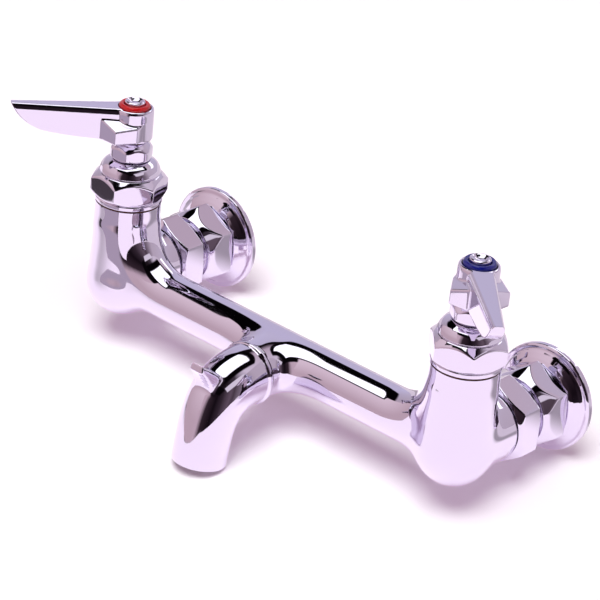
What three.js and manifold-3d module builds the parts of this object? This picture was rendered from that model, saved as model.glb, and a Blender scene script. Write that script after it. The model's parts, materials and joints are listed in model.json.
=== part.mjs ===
// Commercial wall faucet: a cast bridge body between two compression valves, an elbow spout with a
// pail hook, two lever handles, and two female inlets with wall flanges. Millimetres, +Z up.
// The origin lies on the wall, midway between the inlets and at their height. +X runs along the
// bridge and +Y into the wall, so the spout points to -Y. The hot valve is at -X.
import * as THREE from 'three';
import { mergeVertices } from 'three/addons/utils/BufferGeometryUtils.js';
import Module from 'manifold-3d';

const wasm = await Module();
wasm.setup();

// ---- Setting out ---------------------------------------------------------------------------
const CENTRES = 203.2;          // between the valve axes: eight inches
const AXIS_TO_WALL = 66;        // bridge axis in front of the wall
const FIT = 0.3;                // play between pieces that sit inside or beside each other

// ---- Cast body -----------------------------------------------------------------------------
const BRIDGE_R = 11.5;          // outside of the bridge pipe
const BRIDGE_BORE_R = 7.5;
const COLUMN_R = 15.5;          // outside of a valve column
const COLUMN_TOP = 38.5;        // column rim above the bridge axis
const BULB_R = 16.5;            // swelling at the foot of a column
const BULB_Z = -3;              // height of its widest place
const BULB_DEPTH = 17;          // from there down to its round bottom
const ELBOW_R = 38;             // bend of the casting from column to bridge, at its centre line
const NECK_R = 12.9;            // front neck that carries the spout
const NECK_END = 19.8;          // neck rim in front of the bridge axis
const NECK_FLARE = 32;          // distance along the bridge at which it starts to swing forward
const NECK_SOCKET_R = 9.8;      // tapped socket in the neck
const NECK_SOCKET_DEPTH = 8;
const BRANCH_R = 16.4;          // rear inlet branch, smooth part
const BRANCH_END = 42.8;        // shoulder of the branch, measured from the wall
const BRANCH_THREAD_R = 14;     // threaded nose of the branch, inside the coupling nut
const BRANCH_NOSE = 34.3;       // nose of the branch, measured from the wall
const INLET_BORE_R = 8;         // waterway of the branch and of the chamber under the seat
const CHAMBER_R = 11;           // valve chamber above the seat
const CHAMBER_FLOOR = 14;       // top of the web that carries the seat
const WEB = 5;                  // thickness of that web
const RISER_R = 5.5;            // waterway that climbs from the bridge to the valve chamber
const RISER_TOP = 27;           // height at which it enters the chamber
const RISER_START = 52;         // distance from the valve axis at which it leaves the bridge bore

// ---- Spout ---------------------------------------------------------------------------------
const SPOUT_ROOT_R = 14;        // elbow beside the shoulder ring
const SPOUT_TIP_R = 12.65;      // outside at the outlet
const SPOUT_BORE_R = 7;         // waterway at the root
const SPOUT_MOUTH_R = 10.6;     // waterway at the outlet
const SPOUT_REACH = 50;         // outlet centre in front of the bridge axis
const SPOUT_DROP = 37.5;        // outlet centre below the bridge axis
const SPOUT_LEAN = 8;           // degrees that the outlet tips forward
const SPOUT_AXIS_Z = -2.5;      // neck and spout axis below the bridge axis
const SHOULDER_R = 14.9;        // ring at the root of the elbow
const SHOULDER_W = 2.6;
const GASKET_T = 1;             // flat gasket between neck and shoulder
const SPIGOT_LENGTH = 7;        // threaded spigot inside the neck socket
const HOOK_WIDTH = 10;          // pail hook, across the spout
const HOOK_RISE = 13.4;         // hook tip above the bridge axis
const HOOK_REACH = 57;          // hook tip in front of the bridge axis
const HOOK_T = 3.2;             // thickness of the hook at its tip

// ---- Bonnet and packing --------------------------------------------------------------------
const BONNET_WASHER_T = 0.8;
const COLLAR_R = 15.8;          // round collar under the bonnet hexagon
const COLLAR_T = 2.4;
const BONNET_AF = 31.5;         // across the flats of the bonnet hexagon
const BONNET_HEX_H = 12;
const BONNET_CHAMFER = 4;       // depth of the cone that rounds off the top of the hexagon
const DOME_R = 14.4;            // domed shoulder above the hexagon
const DOME_H = 6.4;
const BONNET_NECK_R = 7.2;      // threaded neck under the packing nut
const BONNET_NECK_H = 4.2;
const SLEEVE_LENGTH = 8;        // threaded sleeve below the collar
const PACKING_NUT_AF = 18.4;
const PACKING_NUT_H = 9;
const PACKING_H = 2.2;
const HOT_BONNET_TURN = 52;     // degrees from +X to a corner of the bonnet hexagon
const COLD_BONNET_TURN = 15;

// ---- Valve stem ----------------------------------------------------------------------------
const SEAT_THREAD_R = 6.7;
const SEAT_BORE_R = 4.5;
const SEAT_FLANGE_R = 8.6;
const SEAT_FLANGE_T = 1.8;
const SEAT_LIP_R = 6;
const SEAT_LIP_H = 1.2;
const SEAT_WASHER_R = 7;
const SEAT_WASHER_T = 3;
const HOLDER_R = 8.4;
const HOLDER_H = 8.7;
const FOOT_R = 4;               // button at the foot of the spindle, inside the holder
const FOOT_H = 2.3;
const FOOT_NECK_R = 2.9;
const HOLDER_LIP = 1.8;         // inturned lip of the holder above the button
const BARREL_R = 6.7;           // threaded barrel of the spindle
const BARREL_H = 10;
const SPINDLE_R = 4;
const SQUARE = 6;               // square head of the spindle, across the flats
const WASHER_SCREW_R = 1.5;
const WASHER_SCREW_HEAD_R = 3.2;
const WASHER_SCREW_HEAD_T = 2;

// ---- Handle --------------------------------------------------------------------------------
const HUB_R = 9.1;
const HUB_BOTTOM = 70.6;        // above the bridge axis
const HUB_TOP = 86.2;
const LEVER_LENGTH = 57;        // from the spindle axis to the tip
const LEVER_ROOT_W = 11.4;      // width of the lever beside the hub
const LEVER_TIP_W = 5.8;
const LEVER_UNDERSIDE = 71.1;   // lower edge of the lever beside the hub, above the bridge axis
const EDGE_BEVEL_W = 1.2;       // bevel along the top edges of the lever
const EDGE_BEVEL_H = 2;
const LUG_REACH = 12.7;         // corner of a side lug, out from the middle of the lever
const LUG_FRONT = 15.3;         // front of a side lug, from the spindle axis
const LUG_TOP = 81;             // top of a side lug where it meets the lever
const LUG_SLOPE = 24;           // degrees that the top of a lug falls outwards
const HOT_LEVER = 229;          // degrees from +X at which the closed levers point
const COLD_LEVER = 316;
const INDEX_R = 7.35;           // coloured index ring
const INDEX_HOLE_R = 5;
const INDEX_H = 3.4;
const CAP_R = 4.7;              // head of the handle screw
const CAP_H = 4.7;
const HANDLE_SCREW_R = 1.4;

// ---- Inlets, measured from the wall ----------------------------------------------------------
const COUPLING_AF = 35;
const COUPLING_FRONT = 42;
const COUPLING_BACK = 28;
const COUPLING_TURN = 33;       // degrees from +X up to a corner of the hexagons
const COUPLING_WASHER_T = 1.5;
const COUPLING_WALL = 2.5;      // rear wall of the nut
const SHANK_R = 11;             // where the shank passes the nut
const SHANK_LAND_T = 2;         // collar of the shank inside the nut
const SHANK_AF = 35;
const SHANK_HEX_FRONT = 24;
const SHANK_HEX_BACK = 8;
const SHANK_CHAMFER = 9;        // depth of the long cone on the front of that hexagon
const HEX_END_R = 16.3;         // radius to which the ends of the inlet hexagons are rounded
const SHANK_NECK_R = 14.5;      // between nut and hexagon
const SHANK_TAIL_R = 16;        // part inside the wall flange
const SHANK_BORE_R = 7;
const PIPE_BORE_R = 10.4;       // half-inch female pipe thread
const PIPE_BORE_DEPTH = 15;
const FLANGE_R = 25.3;          // two-inch wall flange
const FLANGE_DEPTH = 7.6;
const FLANGE_RIM = 2.2;

// ---- Facets --------------------------------------------------------------------------------
const ROUND = 24;               // sides of a visible round
const FLANGE_ROUND = 32;
const HIDDEN_ROUND = 16;        // sides of a bore or an inner piece
const SWEEP_STEPS = 9;
const WATERWAY_STEPS = 6;

// ---- Finishes ------------------------------------------------------------------------------
const FINISH = {
  chrome: { color: 0xd8d2dc, roughness: 0.07, metalness: 1 },
  brass: { color: 0xb58a45, roughness: 0.35, metalness: 1 },
  rubber: { color: 0x1d1c1e, roughness: 0.8, metalness: 0 },
  fibre: { color: 0x6d2f22, roughness: 0.85, metalness: 0 },
  graphite: { color: 0x3a3b3d, roughness: 0.7, metalness: 0 },
  red: { color: 0xd0141c, roughness: 0.28, metalness: 0 },
  blue: { color: 0x14249a, roughness: 0.28, metalness: 0 },
};

const radians = THREE.MathUtils.degToRad;

// ---- Solids --------------------------------------------------------------------------------

// Merges a closed geometry, drops the triangles that its poles leave empty, turns its faces
// outwards and makes a solid of it.
function solid(geometry) {
  const bare = geometry.clone();
  bare.deleteAttribute('normal');
  bare.deleteAttribute('uv');
  const merged = mergeVertices(bare, 1e-4);
  const at = merged.getAttribute('position');
  const corners = merged.getIndex().array;
  const a = new THREE.Vector3();
  const b = new THREE.Vector3();
  const c = new THREE.Vector3();
  const faces = [];
  let volume = 0;
  for (let i = 0; i < corners.length; i += 3) {
    const face = [corners[i], corners[i + 1], corners[i + 2]];
    if (new Set(face).size < 3) continue;
    a.fromBufferAttribute(at, face[0]);
    b.fromBufferAttribute(at, face[1]);
    c.fromBufferAttribute(at, face[2]);
    volume += a.dot(b.cross(c));
    faces.push(face);
  }
  if (volume < 0) faces.forEach((face) => face.reverse());
  return new wasm.Manifold(new wasm.Mesh({
    numProp: 3,
    vertProperties: Float32Array.from(at.array),
    triVerts: Uint32Array.from(faces.flat()),
  }));
}

// The geometry of a finished solid, with flat facets.
function geometryOf(body) {
  const mesh = body.getMesh();
  const geometry = new THREE.BufferGeometry();
  geometry.setAttribute('position', new THREE.BufferAttribute(Float32Array.from(mesh.vertProperties), 3));
  geometry.setIndex(new THREE.BufferAttribute(Uint32Array.from(mesh.triVerts), 1));
  const faceted = geometry.toNonIndexed();
  faceted.computeVertexNormals();
  return faceted;
}

const joined = (...bodies) => bodies.reduce((sum, body) => sum.add(body));
const cut = (body, ...cutters) => cutters.reduce((rest, cutter) => rest.subtract(cutter), body);

// Turns a profile of [radius, height] points about +Z. A profile that starts away from the axis
// is closed on itself, and so makes a ring.
function turned(profile, sides = ROUND) {
  const points = profile.map(([radius, height]) => new THREE.Vector2(radius, height));
  if (profile[0][0] > 0) points.push(points[0].clone());
  return solid(new THREE.LatheGeometry(points, sides).rotateX(Math.PI / 2));
}

const rod = (radius, low, high, sides = HIDDEN_ROUND) => turned(
  [[0, low], [radius, low], [radius, high], [0, high]], sides);

const tube = (inner, outer, low, high, sides = HIDDEN_ROUND) => turned(
  [[inner, low], [outer, low], [outer, high], [inner, high]], sides);

// Extrudes an outline of [x, y] points from height low to height high.
function prism(outline, low, high) {
  const shape = new THREE.Shape(outline.map(([x, y]) => new THREE.Vector2(x, y)));
  const geometry = new THREE.ExtrudeGeometry(shape, { depth: high - low, bevelEnabled: false, steps: 1 });
  return solid(geometry.translate(0, 0, low));
}

// A hexagonal prism, rounded off at its two ends by cones. Each cone has a radius at the very end
// and a depth. A corner points along +X.
function hexagon(acrossFlats, low, high, bottomCone, topCone) {
  const corner = acrossFlats / Math.sqrt(3);
  const [bottomRadius, bottomDepth] = bottomCone;
  const [topRadius, topDepth] = topCone;
  const outline = Array.from({ length: 6 }, (_, i) => {
    const angle = i * Math.PI / 3;
    return [corner * Math.cos(angle), corner * Math.sin(angle)];
  });
  const turning = turned([
    [0, low], [bottomRadius, low], [corner + 0.1, low + bottomDepth],
    [corner + 0.1, high - topDepth], [topRadius, high], [0, high],
  ]);
  return prism(outline, low, high).intersect(turning);
}

// A pipe along a curve whose radius changes on the way: a thin round pipe is extruded along the
// curve, and each of its rings is then opened to the radius wanted there.
function sweep(curve, radiusAt, steps = SWEEP_STEPS, sides = ROUND) {
  const circle = new THREE.Shape();
  for (let i = 0; i < sides; i += 1) {
    const angle = i * 2 * Math.PI / sides;
    const move = i === 0 ? 'moveTo' : 'lineTo';
    circle[move](Math.cos(angle), Math.sin(angle));
  }
  const geometry = new THREE.ExtrudeGeometry(circle, { steps, extrudePath: curve, bevelEnabled: false });
  const centres = curve.getSpacedPoints(steps);
  const at = geometry.getAttribute('position');
  const point = new THREE.Vector3();
  for (let i = 0; i < at.count; i += 1) {
    point.fromBufferAttribute(at, i);
    const distances = centres.map((centre) => centre.distanceTo(point));
    const nearest = distances.indexOf(Math.min(...distances));
    point.sub(centres[nearest]).setLength(radiusAt(nearest / steps)).add(centres[nearest]);
    at.setXYZ(i, point.x, point.y, point.z);
  }
  return solid(geometry);
}

// A quarter bend with straight ends: from start, along its first direction to the corner and
// then on to the end, with the corner rounded to the bend radius.
function quarterBend(start, corner, end, bend) {
  const path = new THREE.CurvePath();
  const into = corner.clone().sub(start).normalize();
  const out = end.clone().sub(corner).normalize();
  const first = corner.clone().addScaledVector(into, -bend);
  const last = corner.clone().addScaledVector(out, bend);
  const pull = bend * 4 / 3 * (Math.SQRT2 - 1);
  path.add(new THREE.LineCurve3(start, first));
  path.add(new THREE.CubicBezierCurve3(
    first, first.clone().addScaledVector(into, pull), last.clone().addScaledVector(out, -pull), last));
  path.add(new THREE.LineCurve3(last, end));
  return path;
}

const mix = (from, to, share) => from + (to - from) * THREE.MathUtils.smoothstep(share, 0, 1);
const alongX = (body) => body.rotate([0, 90, 0]);
const towardsUser = (body) => body.rotate([90, 0, 0]);

// ---- Faucet body ----------------------------------------------------------------------------
// Valve axes at x = +-CENTRES / 2, bridge axis along X through the origin of this group.

function columnOutside() {
  const bottom = Array.from({ length: 6 }, (_, i) => {
    const angle = radians(-90 + 18 * i);
    return [BULB_R * Math.cos(angle), BULB_Z + BULB_DEPTH * Math.sin(angle)];
  });
  bottom[0][0] = 0;
  return turned([
    ...bottom, [0.35 * COLUMN_R + 0.65 * BULB_R, BULB_Z + 5], [COLUMN_R, BULB_Z + 13],
    [COLUMN_R, COLUMN_TOP], [0, COLUMN_TOP],
  ]);
}

// The casting curves from the column into the bridge, narrowing as it goes. This is the side
// whose bridge runs to +X from the valve axis.
function columnElbow() {
  const start = new THREE.Vector3(0, 0, COLUMN_TOP - 2);
  const corner = new THREE.Vector3(0, 0, 0);
  const end = new THREE.Vector3(ELBOW_R + 12, 0, 0);
  const path = quarterBend(start, corner, end, Math.min(ELBOW_R, COLUMN_TOP - 3));
  return sweep(path, (share) => mix(COLUMN_R - 0.2, BRIDGE_R, share));
}

// The waterway that climbs inside that elbow from the bridge bore to the valve chamber.
function riser() {
  const path = new THREE.CubicBezierCurve3(
    new THREE.Vector3(RISER_START, 0, 0),
    new THREE.Vector3(RISER_START - 22, 0, 0),
    new THREE.Vector3(CHAMBER_R + 6, 0, RISER_TOP - 14),
    new THREE.Vector3(CHAMBER_R - 3.5, 0, RISER_TOP));
  return sweep(path, () => RISER_R, WATERWAY_STEPS, HIDDEN_ROUND);
}

// The bridge swings forward into the neck on both sides. This is the side that comes from -X.
function neckBend() {
  const start = new THREE.Vector3(-NECK_FLARE, 0, 0);
  const corner = new THREE.Vector3(0, 0, SPOUT_AXIS_Z);
  const end = new THREE.Vector3(0, 1 - NECK_END, SPOUT_AXIS_Z);
  const path = new THREE.CubicBezierCurve3(
    start, start.clone().lerp(corner, 0.55), end.clone().lerp(corner, 0.8), end);
  return sweep(path, (share) => mix(BRIDGE_R - 0.1, NECK_R - 0.1, share));
}

function faucetBody() {
  const half = CENTRES / 2;
  const place = (body, side) => (side < 0 ? body : body.mirror([1, 0, 0])).translate([side * half, 0, 0]);
  const sides = [-1, 1];

  const bridge = alongX(rod(BRIDGE_R, -half, half, ROUND));
  const neck = towardsUser(rod(NECK_R, BRIDGE_R - 3, NECK_END, ROUND)).translate([0, 0, SPOUT_AXIS_Z]);
  const branchShoulder = AXIS_TO_WALL - BRANCH_END;
  const branchNose = AXIS_TO_WALL - BRANCH_NOSE;
  const branch = towardsUser(turned([
    [0, -branchNose], [BRANCH_THREAD_R, -branchNose], [BRANCH_THREAD_R, -branchShoulder],
    [BRANCH_R - 1.2, -branchShoulder], [BRANCH_R, -branchShoulder + 1.2], [BRANCH_R, 0], [0, 0],
  ]));

  const outside = joined(
    bridge, neck, neckBend(), neckBend().mirror([1, 0, 0]),
    ...sides.flatMap((side) => [
      place(columnOutside(), side), place(columnElbow(), side), place(branch, side),
    ]));

  const chamber = rod(CHAMBER_R, CHAMBER_FLOOR, COLUMN_TOP + 1);
  const seatHole = rod(SEAT_THREAD_R + FIT, 0, CHAMBER_FLOOR + 1);
  const lower = rod(INLET_BORE_R, -INLET_BORE_R, CHAMBER_FLOOR - WEB);
  const inlet = towardsUser(rod(INLET_BORE_R, -branchNose - 1, 2));
  const spoutWay = towardsUser(rod(BRIDGE_BORE_R, 0, NECK_END + 1)).translate([0, 0, SPOUT_AXIS_Z]);
  const socket = towardsUser(rod(NECK_SOCKET_R, NECK_END - NECK_SOCKET_DEPTH, NECK_END + 1))
    .translate([0, 0, SPOUT_AXIS_Z]);
  const bore = alongX(rod(BRIDGE_BORE_R, RISER_START - half - 0.5, half - RISER_START + 0.5));
  return cut(
    outside, bore, spoutWay, socket,
    ...sides.flatMap((side) => [chamber, seatHole, lower, inlet, riser()].map((hole) => place(hole, side))));
}

// ---- Spout ----------------------------------------------------------------------------------

// Centre line of the elbow, from the shoulder ring to the outlet.
function spoutPath() {
  const lean = radians(SPOUT_LEAN);
  const start = new THREE.Vector3(0, -NECK_END - GASKET_T - 1, SPOUT_AXIS_Z);
  const end = new THREE.Vector3(0, -SPOUT_REACH, -SPOUT_DROP);
  const reach = SPOUT_REACH - NECK_END;
  const drop = SPOUT_DROP + SPOUT_AXIS_Z;
  const down = new THREE.Vector3(0, -Math.sin(lean), -Math.cos(lean));
  return new THREE.CubicBezierCurve3(
    start,
    start.clone().add(new THREE.Vector3(0, -0.74 * reach, 0)),
    end.clone().addScaledVector(down, -0.66 * drop),
    end);
}

// The hook is a plate that leans forward and up from the top of the elbow, hollowed underneath.
function pailHook() {
  const tip = [HOOK_REACH, HOOK_RISE];
  const root = [HOOK_REACH - 13, HOOK_RISE - 9.5];
  const shape = new THREE.Shape();
  shape.moveTo(root[0] - 3, root[1] - 8);
  shape.lineTo(root[0], root[1]);
  shape.quadraticCurveTo(tip[0] - 6, tip[1] - 3, tip[0] - 0.6, tip[1]);
  shape.lineTo(tip[0] + 0.3, tip[1] - HOOK_T);
  shape.quadraticCurveTo(tip[0] - 4.4, tip[1] - 7.6, tip[0] - 6, tip[1] - 14.5);
  shape.closePath();
  const plate = new THREE.ExtrudeGeometry(shape, {
    depth: HOOK_WIDTH, bevelEnabled: false, curveSegments: 6,
  });
  // The outline's first axis points to the user and its second one up.
  return solid(plate.translate(0, 0, -HOOK_WIDTH / 2)).rotate([90, 0, -90]);
}

function spout() {
  const path = spoutPath();
  const elbow = sweep(path, (share) => mix(SPOUT_ROOT_R, SPOUT_TIP_R, share));
  const ringBack = NECK_END + GASKET_T;
  const ring = turned([
    [0, ringBack], [SHOULDER_R - 0.9, ringBack], [SHOULDER_R, ringBack + 0.9],
    [SHOULDER_R, ringBack + SHOULDER_W - 0.9], [SHOULDER_R - 0.9, ringBack + SHOULDER_W],
    [0, ringBack + SHOULDER_W],
  ]);
  const spigot = rod(NECK_SOCKET_R - FIT, ringBack - GASKET_T - SPIGOT_LENGTH, ringBack + 1);
  const root = towardsUser(joined(ring, spigot)).translate([0, 0, SPOUT_AXIS_Z]);
  const entry = towardsUser(rod(SPOUT_BORE_R, 0, ringBack + 2)).translate([0, 0, SPOUT_AXIS_Z]);
  const waterway = sweep(
    path, (share) => mix(SPOUT_BORE_R, SPOUT_MOUTH_R, share), WATERWAY_STEPS, HIDDEN_ROUND);
  const mouth = rod(SPOUT_MOUTH_R, -2, 1)
    .rotate([-SPOUT_LEAN, 0, 0])
    .translate([0, -SPOUT_REACH, -SPOUT_DROP]);
  return cut(joined(elbow, root, pailHook()), entry, waterway, mouth);
}

function spoutGasket() {
  return towardsUser(tube(NECK_SOCKET_R, NECK_R - 0.4, NECK_END, NECK_END + GASKET_T))
    .translate([0, 0, SPOUT_AXIS_Z]);
}

// ---- Valve, heights above the bridge axis -----------------------------------------------------

const COLLAR_BOTTOM = COLUMN_TOP + BONNET_WASHER_T;
const HEX_BOTTOM = COLLAR_BOTTOM + COLLAR_T;
const HEX_TOP = HEX_BOTTOM + BONNET_HEX_H;
const DOME_TOP = HEX_TOP + DOME_H;
const BONNET_TOP = DOME_TOP + BONNET_NECK_H;
const PACKING_NUT_BOTTOM = DOME_TOP + FIT;
const SEAT_TOP = CHAMBER_FLOOR + SEAT_FLANGE_T + SEAT_LIP_H;
const WASHER_BOTTOM = SEAT_TOP + FIT;
const WASHER_TOP = WASHER_BOTTOM + SEAT_WASHER_T;
const HOLDER_BOTTOM = WASHER_BOTTOM + 1;
const HOLDER_TOP = HOLDER_BOTTOM + HOLDER_H;
const FOOT_TOP = HOLDER_TOP - HOLDER_LIP - FIT;
const BARREL_BOTTOM = HOLDER_TOP + FIT;
const BARREL_TOP = BARREL_BOTTOM + BARREL_H;
const HEAD_SHOULDER = HUB_BOTTOM + 0.4;
const SOCKET_TOP = HUB_TOP - 2.9;
const RECESS_FLOOR = HUB_TOP - 1.9;

function bonnetWasher() {
  return tube(CHAMBER_R, COLLAR_R - 0.5, COLUMN_TOP, COLLAR_BOTTOM);
}

function bonnet(turn) {
  const collar = rod(COLLAR_R, COLLAR_BOTTOM, HEX_BOTTOM + 0.5, ROUND);
  const sleeve = rod(CHAMBER_R - FIT, COLUMN_TOP - SLEEVE_LENGTH, COLLAR_BOTTOM + 0.5);
  const hex = hexagon(BONNET_AF, HEX_BOTTOM, HEX_TOP, [COLLAR_R, 2], [DOME_R, BONNET_CHAMFER])
    .rotate([0, 0, turn]);
  const dome = turned([
    [0, HEX_TOP - 0.5], [DOME_R, HEX_TOP - 0.5], [DOME_R, HEX_TOP + 0.6],
    [0.9 * DOME_R, HEX_TOP + 0.5 * DOME_H], [0.66 * DOME_R, DOME_TOP], [0, DOME_TOP],
  ]);
  const neck = rod(BONNET_NECK_R, DOME_TOP - 0.5, BONNET_TOP);
  const barrelBore = rod(BARREL_R + FIT, COLUMN_TOP - SLEEVE_LENGTH - 1, BARREL_TOP + 3.5);
  const stemBore = rod(SPINDLE_R + FIT, COLUMN_TOP, BONNET_TOP + 1);
  return cut(joined(collar, sleeve, hex, dome, neck), barrelBore, stemBore);
}

function packingNut() {
  const top = PACKING_NUT_BOTTOM + PACKING_NUT_H;
  const outside = hexagon(PACKING_NUT_AF, PACKING_NUT_BOTTOM, top, [8.8, 1], [6.9, 3.4]);
  const thread = rod(BONNET_NECK_R + FIT, PACKING_NUT_BOTTOM - 1, BONNET_TOP + PACKING_H + FIT);
  const stemHole = rod(SPINDLE_R + FIT, PACKING_NUT_BOTTOM, top + 1);
  return cut(outside, thread, stemHole);
}

function packing() {
  return tube(SPINDLE_R + FIT, BONNET_NECK_R, BONNET_TOP, BONNET_TOP + PACKING_H);
}

function valveSeat() {
  return turned([
    [SEAT_BORE_R, CHAMBER_FLOOR - WEB], [SEAT_THREAD_R, CHAMBER_FLOOR - WEB],
    [SEAT_THREAD_R, CHAMBER_FLOOR], [SEAT_FLANGE_R, CHAMBER_FLOOR],
    [SEAT_FLANGE_R, CHAMBER_FLOOR + SEAT_FLANGE_T], [SEAT_LIP_R, CHAMBER_FLOOR + SEAT_FLANGE_T],
    [SEAT_LIP_R - 0.4, SEAT_TOP], [SEAT_BORE_R, SEAT_TOP],
  ], HIDDEN_ROUND);
}

function seatWasher() {
  return tube(WASHER_SCREW_R + FIT, SEAT_WASHER_R, WASHER_BOTTOM, WASHER_TOP);
}

// A cup that holds the seat washer below and the foot of the spindle above.
function washerHolder() {
  const cupTop = WASHER_TOP + FIT;
  const footBottom = FOOT_TOP - FOOT_H - FIT;
  return turned([
    [WASHER_SCREW_R + FIT, cupTop], [SEAT_WASHER_R + FIT, cupTop], [SEAT_WASHER_R + FIT, HOLDER_BOTTOM],
    [HOLDER_R, HOLDER_BOTTOM], [HOLDER_R, HOLDER_TOP - 1], [HOLDER_R - 1, HOLDER_TOP],
    [FOOT_NECK_R + FIT, HOLDER_TOP], [FOOT_NECK_R + FIT, HOLDER_TOP - HOLDER_LIP],
    [FOOT_R + FIT, HOLDER_TOP - HOLDER_LIP], [FOOT_R + FIT, footBottom], [WASHER_SCREW_R + FIT, footBottom],
  ], HIDDEN_ROUND);
}

function washerScrew() {
  const headTop = WASHER_BOTTOM - FIT;
  return turned([
    [0, headTop - WASHER_SCREW_HEAD_T], [WASHER_SCREW_HEAD_R - 0.6, headTop - WASHER_SCREW_HEAD_T],
    [WASHER_SCREW_HEAD_R, headTop - WASHER_SCREW_HEAD_T + 0.6], [WASHER_SCREW_HEAD_R, headTop],
    [WASHER_SCREW_R, headTop], [WASHER_SCREW_R, WASHER_TOP + 0.9], [0, WASHER_TOP + 0.9],
  ], HIDDEN_ROUND);
}

function spindle() {
  const stem = turned([
    [0, FOOT_TOP - FOOT_H], [FOOT_R, FOOT_TOP - FOOT_H], [FOOT_R, FOOT_TOP], [FOOT_NECK_R, FOOT_TOP],
    [FOOT_NECK_R, BARREL_BOTTOM], [BARREL_R, BARREL_BOTTOM], [BARREL_R, BARREL_TOP],
    [SPINDLE_R, BARREL_TOP], [SPINDLE_R, HEAD_SHOULDER - 0.8], [0, HEAD_SHOULDER - 0.8],
  ], HIDDEN_ROUND);
  const side = SQUARE / 2;
  const head = prism(
    [[-side, -side], [side, -side], [side, side], [-side, side]],
    HEAD_SHOULDER - 1, SOCKET_TOP - 2 * FIT);
  const tapping = rod(HANDLE_SCREW_R + FIT, HUB_BOTTOM + 2, SOCKET_TOP + 1);
  return cut(joined(stem, head), tapping);
}

// ---- Handle, its lever pointing to +X ---------------------------------------------------------

// Extrudes an outline of [across, up] points along the lever.
const alongLever = (outline, from, to) => prism(outline, from, to).rotate([90, 0, 90]);

// Side view of the lever: a straight top, and an underside like a knife blade.
function leverBlade() {
  const shape = new THREE.Shape();
  shape.moveTo(0, HUB_TOP);
  shape.lineTo(LEVER_LENGTH, HUB_TOP);
  shape.lineTo(LEVER_LENGTH - 1.6, HUB_TOP - 2.6);
  shape.quadraticCurveTo(LEVER_LENGTH - 5.5, HUB_TOP - 9.4, LEVER_LENGTH - 14, HUB_TOP - 12.3);
  shape.quadraticCurveTo(LEVER_LENGTH - 24, LEVER_UNDERSIDE + 0.7, LUG_FRONT, LEVER_UNDERSIDE);
  shape.lineTo(0, LEVER_UNDERSIDE);
  shape.closePath();
  const blade = new THREE.ExtrudeGeometry(shape, {
    depth: 2 * HUB_R, bevelEnabled: false, curveSegments: 6,
  });
  return solid(blade.translate(0, 0, -HUB_R)).rotate([90, 0, 0]);
}

// The lever narrows to its tip and has a steep bevel along both of its top edges.
function lever() {
  const root = LEVER_ROOT_W / 2;
  const tip = LEVER_TIP_W / 2;
  const length = LEVER_LENGTH + 1 - HUB_R;
  const plan = prism([
    [0, -root], [HUB_R, -root], [HUB_R + length, -tip], [HUB_R + length, tip], [HUB_R, root], [0, root],
  ], LEVER_UNDERSIDE - 1, HUB_TOP + 1);
  const taper = THREE.MathUtils.radToDeg(Math.atan2(root - tip, length));
  const over = 0.4;
  const bevel = alongLever([
    [over * EDGE_BEVEL_W, -(1 + over) * EDGE_BEVEL_H], [over * EDGE_BEVEL_W, over * EDGE_BEVEL_H],
    [-(1 + over) * EDGE_BEVEL_W, over * EDGE_BEVEL_H],
  ], -2, length + 2).rotate([0, 0, -taper]).translate([HUB_R, root, HUB_TOP]);
  return cut(leverBlade().intersect(plan), bevel, bevel.mirror([0, 1, 0]));
}

// Two flat lugs beside the root of the lever, their tops falling outwards.
function lugs() {
  const beside = LEVER_ROOT_W / 2 - 0.3;
  const half = [[LUG_FRONT, beside], [HUB_R, LUG_REACH], [-1, HUB_R + 1.3], [-0.5 * HUB_R, 0.82 * HUB_R]];
  const outline = [...half, ...half.map(([x, y]) => [x, -y]).reverse()];
  const fall = Math.tan(radians(LUG_SLOPE));
  const out = 2 * LUG_REACH;
  const above = alongLever([
    [0, LUG_TOP + beside * fall], [out, LUG_TOP + (beside - out) * fall], [out, HUB_TOP + 5], [0, HUB_TOP + 5],
  ], -2 * HUB_R, 2 * LUG_FRONT);
  return cut(prism(outline, LEVER_UNDERSIDE, LUG_TOP + 1), above, above.mirror([0, 1, 0]));
}

function handle() {
  const hub = turned([
    [0, HUB_BOTTOM], [HUB_R - 0.6, HUB_BOTTOM], [HUB_R, HUB_BOTTOM + 0.6], [HUB_R, HUB_TOP - 2],
    [HUB_R - 0.4, HUB_TOP - 0.8], [HUB_R - 1.2, HUB_TOP], [0, HUB_TOP],
  ]);
  const side = SQUARE / 2 + FIT;
  const socket = prism([[-side, -side], [side, -side], [side, side], [-side, side]], HUB_BOTTOM - 1, SOCKET_TOP);
  const screwHole = rod(HANDLE_SCREW_R + FIT, SOCKET_TOP - 1, HUB_TOP);
  const recess = rod(INDEX_R + FIT, RECESS_FLOOR, HUB_TOP + 1);
  return cut(joined(hub, lever(), lugs()), socket, screwHole, recess);
}

function indexRing() {
  const top = RECESS_FLOOR + INDEX_H;
  return turned([
    [INDEX_HOLE_R, RECESS_FLOOR], [INDEX_R, RECESS_FLOOR], [INDEX_R, top - 1.1],
    [INDEX_R - 0.9, top], [INDEX_HOLE_R, top - 0.4],
  ]);
}

// The head of the screw is a dished cap that stands out of the index ring.
function handleScrew() {
  const top = RECESS_FLOOR + CAP_H;
  return turned([
    [0, HUB_BOTTOM + 3], [HANDLE_SCREW_R, HUB_BOTTOM + 3], [HANDLE_SCREW_R, RECESS_FLOOR],
    [CAP_R, RECESS_FLOOR], [CAP_R, top - 0.7], [CAP_R - 0.7, top], [0.55 * CAP_R, top - 1], [0, top - 1.5],
  ], HIDDEN_ROUND);
}

// ---- Inlets: +Z runs from the wall towards the user --------------------------------------------

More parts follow.
